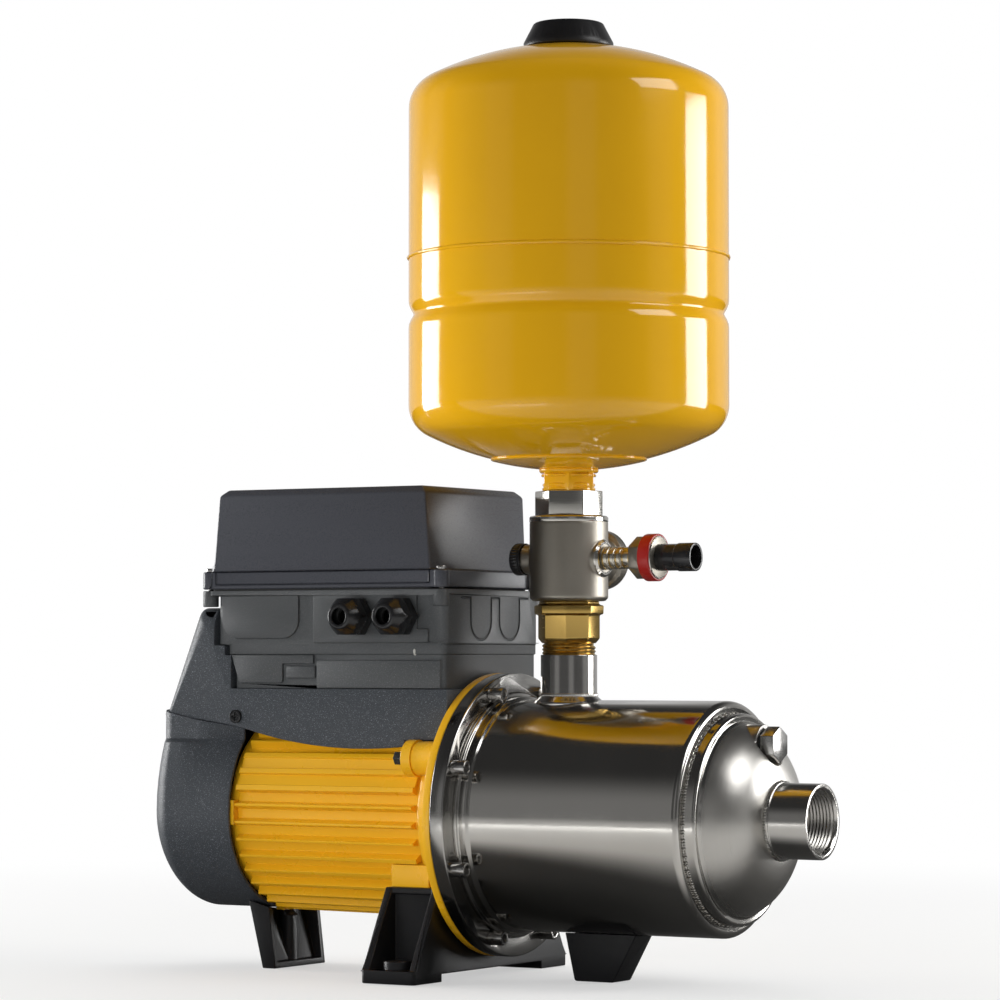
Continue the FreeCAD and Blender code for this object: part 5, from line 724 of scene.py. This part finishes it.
def make_vessel():
    """Two pressed shells, then the seam's weld, the bottom plate's rim and the weld at the neck's root."""
    side, lining, sheet = 103, 101.5, 1.5
    ball, inner_ball, plate_ball = 205, 203.5, 206.3
    knuckle, inner_knuckle = 21.5, 20
    top_middle, bottom_middle = 394.19, 531.51
    top_knuckle, bottom_knuckle = (558.6, 81.5), (367.1, 81.5)
    seam = 461.9
    paint = ("vessel_yellow", "yellow_paint")
    top = crown(ball, top_middle, 1.5, 26.37) + arc(top_knuckle, knuckle, 30, 90, 10)
    under = arc(top_knuckle, inner_knuckle, 90, 30, 8) + crown(inner_ball, top_middle, 26.37, 1.5)
    shell = tube(top + [(seam, side), (seam, lining)] + under, 180)
    erect(shell, COLUMN, "Z", 40, "vessel_top", *paint, nodes=["tank_upper_shell"])
    groove = [
        (434.5, side),
        (431.9, 102.75),
        (429.2, 101.7),
        (426.6, 100.2),
        (425.4, 99.8),
        (424.2, 100.2),
        (421.6, 101.7),
        (418.9, 102.75),
        (416.3, side),
    ]
    inner_groove = [(height, radius - sheet) for height, radius in reversed(groove)]
    bend = arc(bottom_knuckle, knuckle, 90, 153.63, 10)
    bowl = crown(ball, bottom_middle, 154.5, 165.9, 8) + crown(plate_ball, bottom_middle, 166.2, 175.5, 8)
    inner_bowl = crown(inner_ball, bottom_middle, 175.5, 153.63)
    inner_bend = arc(bottom_knuckle, inner_knuckle, 150, 90, 8)
    outside = [(seam, side)] + groove + bend + bowl
    shell = tube(outside + inner_bowl + inner_bend + inner_groove + [(seam, lining)], 180)
    erect(shell, COLUMN, "Z", 40, "vessel_bottom", *paint, nodes=["tank_lower_shell"])
    bead = round_ring(102.8, 1.3, seam, 360, 8)
    lump(bead, 3.5, 1.0)
    erect(bead, COLUMN, "Z", 60, "vessel_seam_weld", *paint)
    rim = round_ring(49.6, 0.75, 332.2, 160, 8)
    lump(rim, 6.0, 0.3)
    erect(rim, COLUMN, "Z", 60, "bottom_plate_rim", *paint)
    root = merged(round_ring(17.5, 1.7, 325.2, 120, 10), round_ring(16.9, 0.8, 321.9, 120, 8))
    lump(root, 2.5, 0.8)
    erect(root, COLUMN, "Z", 60, "neck_root_weld", *paint)


def lower_cap(cap):
    foot = 0.5974
    resize(cap, everywhere, (1, 1, 0.87), (0, 0, foot))


def narrow_neck(neck):
    hexagon_top = 0.3253
    resize(neck, lambda vertex: vertex.co.z < hexagon_top, (0.93, 0.93, 1), (COLUMN_X, 0, 0))


def turn_nipple(nipple):
    """Turns the hexagon as it was left by the spanner."""
    turn = math.radians(-24.5)
    pick(nipple, everywhere)
    bpy.ops.transform.rotate(value=turn, orient_axis="Z", center_override=(COLUMN_X, 0, 0))
    bpy.ops.object.mode_set(mode="OBJECT")


def make_neck():
    dressed("tank_neck", "vessel_yellow", 0.5, shape=narrow_neck)
    stations = [(311.95, 12.5), (311.95, 16.4), (312.4, 17.0), (313.6, 17.1), (314.2, 16.3)]
    stations += [(314.8, 16.3), (315.3, 16.9), (316.3, 16.9), (316.8, 16.2), (316.8, 12.5)]
    collar = tube(stations)
    soften(collar, 0.2)
    lump(collar, 4.0, 0.25)
    erect(collar, COLUMN, "Z", 32, "neck_lower_collar", "vessel_yellow", "yellow_paint")
    dressed("hex_nipple", "bright_nickel", 0.7, 3, shape=turn_nipple)
    dressed("valve_cap", "cap_black", 1.4, 4, 40, lower_cap)


# The cross of fittings


def make_cross():
    body = copied("five_way_body", 0)
    apply_modifier(body, "REMESH", mode="VOXEL", voxel_size=0.65 * MM)
    apply_modifier(body, "SMOOTH", factor=0.5, iterations=7)
    smooth(body, 60)
    settle(body, "cross_casting", "satin_nickel", "nickel_plate", nodes=["five_way_body"])
    machined = ("bright_nickel", "nickel_plate")
    stations = [(292.0, 24.0), (292.0, 25.35), (294.9, 25.35), (295.9, 24.3), (295.9, 19.6)]
    band = tube(stations + [(294.0, 19.6), (294.0, 24.0)], 120)
    soften(band, 0.25)
    erect(band, COLUMN, "Z", 32, "cross_machined_band", *machined)
    mouth = tube([(25.0, 9.0), (25.0, 12.0), (26.0, 12.0), (27.3, 10.6), (27.3, 9.0)], 72)
    erect(mouth, CROSS, "X", 32, "side_boss_mouth", *machined)
    stations = [(42.6, 15.3), (42.6, 18.9), (43.6, 19.3), (44.4, 19.3), (45.0, 18.6), (45.0, 16.6)]
    rear = tube(stations + [(43.6, 15.3)])
    erect(rear, CROSS, "Y", 32, "delivery_port_mouth", *machined)
    turns = thread(15.3, 0.75, 1.8, 7, 30.5)
    erect(turns, CROSS, "Y", 32, "delivery_port_thread", "satin_nickel", "nickel_plate")


def make_side_fittings():
    """The blanking plug on one side of the cross and the pressure sensor on the other."""
    stations = [(31.5, 6.0), (31.5, 9.9), (32.0, 10.35), (32.9, 10.35), (33.2, 9.8), (33.7, 9.8)]
    stations += [(34.0, 10.5), (38.2, 10.5), (39.4, 9.4), (39.4, 0.6)]
    knob = lathe(stations, 144)
    flute(knob, 33.9, 38.4, 36, 0.975)
    soften(knob, 0.2, 2, 50)
    slot = record_slot("blanking_plug")
    erect(knob, CROSS, "-X", 30, "plug_knob", "gloss_black", slot, nodes=["blanking_plug"])
    neck = lathe([(22.6, 5.9), (24.6, 8.6), (31.2, 8.6), (31.6, 8.2), (31.6, 5.9)], 72)
    soften(neck, 0.3)
    erect(neck, CROSS, "-X", 32, "plug_neck", "nipple_brass", "valve_brass")
    stations = [(18.2, 5.8), (27.1, 5.8), (27.3, 7.5), (31.6, 7.5), (31.9, 6.7), (32.6, 6.7), (32.9, 7.2)]
    stations += [(36.0, 7.2), (36.3, 6.6), (37.0, 6.6), (37.3, 7.2), (40.6, 7.2), (40.9, 6.6), (41.6, 6.6)]
    nipple = tube(stations + [(41.9, 7.0), (49.9, 7.0), (49.9, 3.0), (18.2, 3.0)], 72)
    soften(nipple, 0.2)
    slot = record_slot("sensor_nipple")
    erect(nipple, CROSS, "X", 32, "sensor_nipple_turned", "banded_nickel", slot, nodes=["sensor_nipple"])
    dressed("sensor_body", "satin_nickel", 0.5)
    dressed("sensor_ring", "ring_red", 0.6, 3)
    dressed("sensor_connector", "gloss_black", 0.4)
    face = tube([(66.0, 8.9), (66.0, 13.8), (66.5, 13.5), (66.5, 9.1)], 72)
    erect(face, CROSS, "X", 32, "sensor_front_face", "bright_nickel", "nickel_plate")


def make_check_valve():
    stations = [(214.3, 14.0), (214.3, 17.4), (217.4, 20.0), (232.4, 20.0), (233.1, 22.4)]
    octagon = tube(stations + [(238.4, 22.6), (239.2, 19.6), (241.2, 19.6), (241.2, 14.0)], 8)
    soften(octagon, 0.7, 3, 25)
    octagon.rotation_euler[2] = math.radians(-21)
    bpy.ops.object.transform_apply(location=False, rotation=True, scale=False)
    tail = tube([(193, 13.5), (193, 15.9), (253, 15.9), (253, 13.5)])
    valve = merged(octagon, tail)
    brass = ("valve_brass", "valve_brass")
    erect(valve, COLUMN, "Z", 32, "valve_octagon", *brass, nodes=["check_valve_body"])
    erect(thread(16.5, 0.8, 2.3, 4, 204.4), COLUMN, "Z", 32, "valve_tail_thread", *brass)
    dressed("outlet_socket", "socket_steel", 0.5, 3)
    bead = weld(17.9, 1.3, 64, 181.2)
    lump(bead, 2.2, 0.4)
    erect(bead, COLUMN, "Z", 60, "outlet_weld", "socket_steel", "stainless_sheet")


# The stainless casing


def round_dome_ring(casing):
    """Rolls the edge of the dome's seam ring."""
    ring_radius, ring_start = 0.0663, 0.2033

    def on_edge(vertex):
        out = math.hypot(vertex.co.y, vertex.co.z - AXIS_HEIGHT)
        return abs(out - ring_radius) < 0.0003 and vertex.co.x > ring_start

    pick(casing, on_edge)
    bpy.ops.mesh.bevel(offset=2.6 * MM, segments=6, affect="EDGES")
    bpy.ops.object.mode_set(mode="OBJECT")


def make_casing():
    dressed("pump_casing", "casing_steel", 0.6, 3, 30, round_dome_ring)
    dressed("clamp_ring", "ring_steel", 0.9, 3)
    dressed("inlet_socket", "socket_steel", 0.5, 3)
    for node in ("flange_screws", "priming_plug", "lid_screws", "foot_screws"):
        dressed(node, "screw_steel", 0.45)
    sheet = ("casing_steel", "stainless_sheet")
    bead = weld(24.2, 1.6, 84, 229.6)
    lump(bead, 2.0, 0.4)
    erect(bead, PUMP_AXIS, "X", 60, "inlet_weld", *sheet)
    seam = weld(66.2, 1.2, 230, 195.6)
    lump(seam, 2.4, 0.5)
    erect(seam, PUMP_AXIS, "X", 60, "dome_seam_weld", *sheet)
    erect(thread(19.6, 1.1, 2.3, 9, 235.0), PUMP_AXIS, "X", 32, "inlet_thread", *sheet)


# Motor, cowls and feet


def thin_fins(housing):
    """Narrows each fin towards its tip, as the cast ones are drafted, but for the ears and foot blocks."""
    count, first, pitch = 36, 5.5, 10
    root, tip, half_width, narrower = 0.0645, 0.0692, 0.0026, 0.45
    blocks_end = -0.0205
    for number in range(count):
        degrees = first + pitch * number
        turn = math.radians(degrees)
        at_ear = 12 < degrees < 42 or 138 < degrees < 168
        at_block = 202 < degrees < 240 or 300 < degrees < 338

        def at_tip(vertex):
            y, z = vertex.co.y, vertex.co.z - AXIS_HEIGHT
            along = y * math.cos(turn) + z * math.sin(turn)
            across = z * math.cos(turn) - y * math.sin(turn)
            clear = not at_ear and (vertex.co.x < blocks_end or not at_block)
            return clear and root < along < tip and abs(across) < half_width

        pick(housing, at_tip)
        matrix = ((1, 0, 0), (0, math.cos(turn), math.sin(turn)), (0, -math.sin(turn), math.cos(turn)))
        bpy.ops.transform.resize(
            value=(1, 1, narrower),
            orient_type="GLOBAL",
            orient_matrix=matrix,
            orient_matrix_type="GLOBAL",
            constraint_axis=(False, False, True),
            center_override=(0, 0, AXIS_HEIGHT),
        )
        bpy.ops.object.mode_set(mode="OBJECT")


def shape_cowl(cowl):
    """Rounds the back and the rim, and draws the part above the round in to the upper cowl's width."""
    radius, round_top, steepest = 0.07, 0.0465, 0.048
    back_start, back_length, least_in, more_in = -0.168, 0.055, 4.5, 16
    front_start, front_length = -0.18, 0.04
    upper_width, lower_height = 0.88, 0.935
    heights = (84, 94, 104, 114, 124, 134, 142, 149.5, 151.5, 160)
    lengths = (-219, -213, -206, -198, -190, -182, -172, -162, -152, -145)
    planes = [((0, 0, z * MM), (0, 0, 1)) for z in heights]
    planes += [((x * MM, 0, 0), (1, 0, 0)) for x in lengths]
    take(cowl)
    bpy.ops.object.mode_set(mode="EDIT")
    for point, normal in planes:
        bpy.ops.mesh.select_all(action="SELECT")
        bpy.ops.mesh.bisect(plane_co=point, plane_no=normal)
    bpy.ops.object.mode_set(mode="OBJECT")
    for vertex in cowl.data.vertices:
        x, y, rise = vertex.co.x, vertex.co.y, vertex.co.z - AXIS_HEIGHT
        above = rise > round_top
        back = min(max((back_start - x) / back_length, 0), 1)
        out = min(math.hypot(y, rise) / radius, 0.96 if above else 1.2)
        vertex.co.x += back * (least_in + more_in * out**2) * MM
        if rise < 0:
            vertex.co.z = AXIS_HEIGHT + rise * lower_height
            continue
        front = min(max((x - front_start) / front_length, 0), 1)
        share = 1 - front * (1 - math.sqrt(1 - (min(rise, steepest) / radius) ** 2))
        vertex.co.y *= min(share, upper_width) if above else share


def lean_cowl(cowl):
    """Moves the low rear corner of the upper cowl in over the round one."""
    shift(cowl, lambda vertex: vertex.co.x < -0.195 and vertex.co.z < 0.185, x=6)


def raise_rear_foot(foot):
    """Lifts the rear of the foot's top to the cowl."""
    shift(foot, lambda vertex: vertex.co.x < -0.139 and vertex.co.z > 0.03, z=4.5)


def slot_screws(screws):
    """Cuts a cross into each screw's head."""
    middle_x, middle_z = -140.6, 166.6
    for flank in ((60.4, 62.4), (-62.4, -60.4)):
        for wide, tall in ((0.55, 2.6), (2.6, 0.55)):
            width = (middle_x - wide, middle_x + wide)
            cut(screws, bar(width, flank, (middle_z - tall, middle_z + tall)))


def make_motor():
    dressed("motor_housing", "cast_yellow", 0.25, 2, 14, thin_fins)
    ear_x, ear_height = -13.5, 141
    bolts = []
    for flank in (-64, 64):
        bolt = lathe([(0, 3.9), (0.5, 4.7), (10.5, 4.7)], 6)
        washer = lathe([(7.4, 6.4), (8.9, 6.4)], 48)
        bolts += [stand(piece, (ear_x, flank, ear_height), "X") for piece in (bolt, washer)]
    bolts = merged(*bolts)
    soften(bolts, 0.25)
    smooth(bolts, 25)
    slot = record_slot("bracket_screws")
    settle(bolts, "bracket_bolt_heads", "screw_steel", slot, nodes=["bracket_screws"])
    dressed("motor_bracket", "cast_yellow", 0.6)
    dressed("upper_cowl", "cowl_black", 0.6, shape=lean_cowl)
    dressed("fan_cowl", "cowl_black", 0.7, 3, shape=shape_cowl)
    dressed("main_foot", "foot_black", 0.7, 3)
    dressed("pump_foot", "foot_black", 0.7, 3)
    dressed("rear_foot", "foot_black", 0.7, 3, shape=raise_rear_foot)
    dressed("cowl_screws", "gloss_black", 0.3, shape=slot_screws)


# The controller


def knock_out(middle):
    """A half-round groove line with straight legs on the end face, in mm, as a tool to cut with."""
    face, legs_foot, legs = 20.0, 229.2, 14.6
    bpy.ops.mesh.primitive_torus_add(
        major_segments=48,
        minor_segments=8,
        major_radius=12.6 * MM,
        minor_radius=0.55 * MM,
        rotation=(0, math.pi / 2, 0),
        location=(face * MM, middle * MM, legs_foot * MM),
    )
    groove = bpy.context.object
    bpy.ops.object.transform_apply(location=True, rotation=True, scale=True)
    take(groove)
    bpy.ops.object.mode_set(mode="EDIT")
    bpy.ops.mesh.select_all(action="SELECT")
    bpy.ops.mesh.bisect(plane_co=(0, 0, legs_foot * MM), plane_no=(0, 0, 1), clear_outer=True)
    bpy.ops.mesh.extrude_region_move(TRANSFORM_OT_translate={"value": (0, 0, legs * MM)})
    bpy.ops.mesh.select_all(action="DESELECT")
    bpy.ops.mesh.select_non_manifold()
    bpy.ops.mesh.fill_holes(sides=0)
    bpy.ops.mesh.select_all(action="SELECT")
    bpy.ops.mesh.normals_make_consistent(inside=False)
    bpy.ops.object.mode_set(mode="OBJECT")
    return groove


def mark_end_face(base):
    """Cuts two knock-outs into the end face, and the line that their legs end on."""
    for middle in (-14.5, 21.0):
        cut(base, knock_out(middle))
    for across in ((-1.9, 8.4), (33.6, 45.0), (-38.5, -27.1)):
        cut(base, bar((19.4, 20.6), across, (243.2, 244.2)))


def widen_glands(glands, deep=1.04, root=-0.0585):
    """Swells each gland about its axis, and makes it deeper from its root outwards."""
    height, half_pitch, wider = 0.2315, 0.0155, 1.14
    for across in (-45.8, -12.2):
        middle = (across * MM, root, height)
        resize(
            glands,
            lambda vertex: abs(vertex.co.x - across * MM) < half_pitch,
            (wider, deep, wider),
            middle,
        )


def lengthen_nuts(nuts):
    widen_glands(nuts, 1.25, -0.0676)


def square_lid(lid):
    """Draws the lid's far edges out, and cuts its skirt's flanks down to a thin lip."""
    top = 0.309
    for flank in ((-62, -60.1), (60.1, 62)):
        cut(lid, bar((-157, 9), flank, (253, 262.5)))
    shift(lid, lambda vertex: vertex.co.z > top and vertex.co.x < -0.1, x=-4)
    shift(lid, lambda vertex: vertex.co.z > top and vertex.co.y > 0, y=5)


def make_controller():
    dressed("controller_lid", "lid_black", 1.2, 4, shape=square_lid)
    dressed("controller_base", "box_black", 0.6, shape=mark_end_face)
    dressed("gland_bodies", "gloss_black", 0.5, shape=widen_glands)
    dressed("gland_nuts", "gloss_black", 0.8, 3, shape=lengthen_nuts)
    bpy.ops.mesh.primitive_uv_sphere_add(segments=24, ring_count=12, radius=1.5 * MM, location=(0, 0, 0))
    pin = bpy.context.object
    resize(pin, everywhere, (1, 0.9, 1.9), (0, 0, 0))
    erect(pin, (-3.2, -57.4, 209.2), "Z", 60, "housing_pin", "seal_white", "white_ceramic")


set_camera()
make_finishes()
lay_floor()
light_world()
set_lamps()
finish_nodes()
make_vessel()
make_neck()
make_cross()
make_side_fittings()
make_check_valve()
make_casing()
make_motor()
make_controller()

bpy.context.scene.view_settings.view_transform = "Standard"
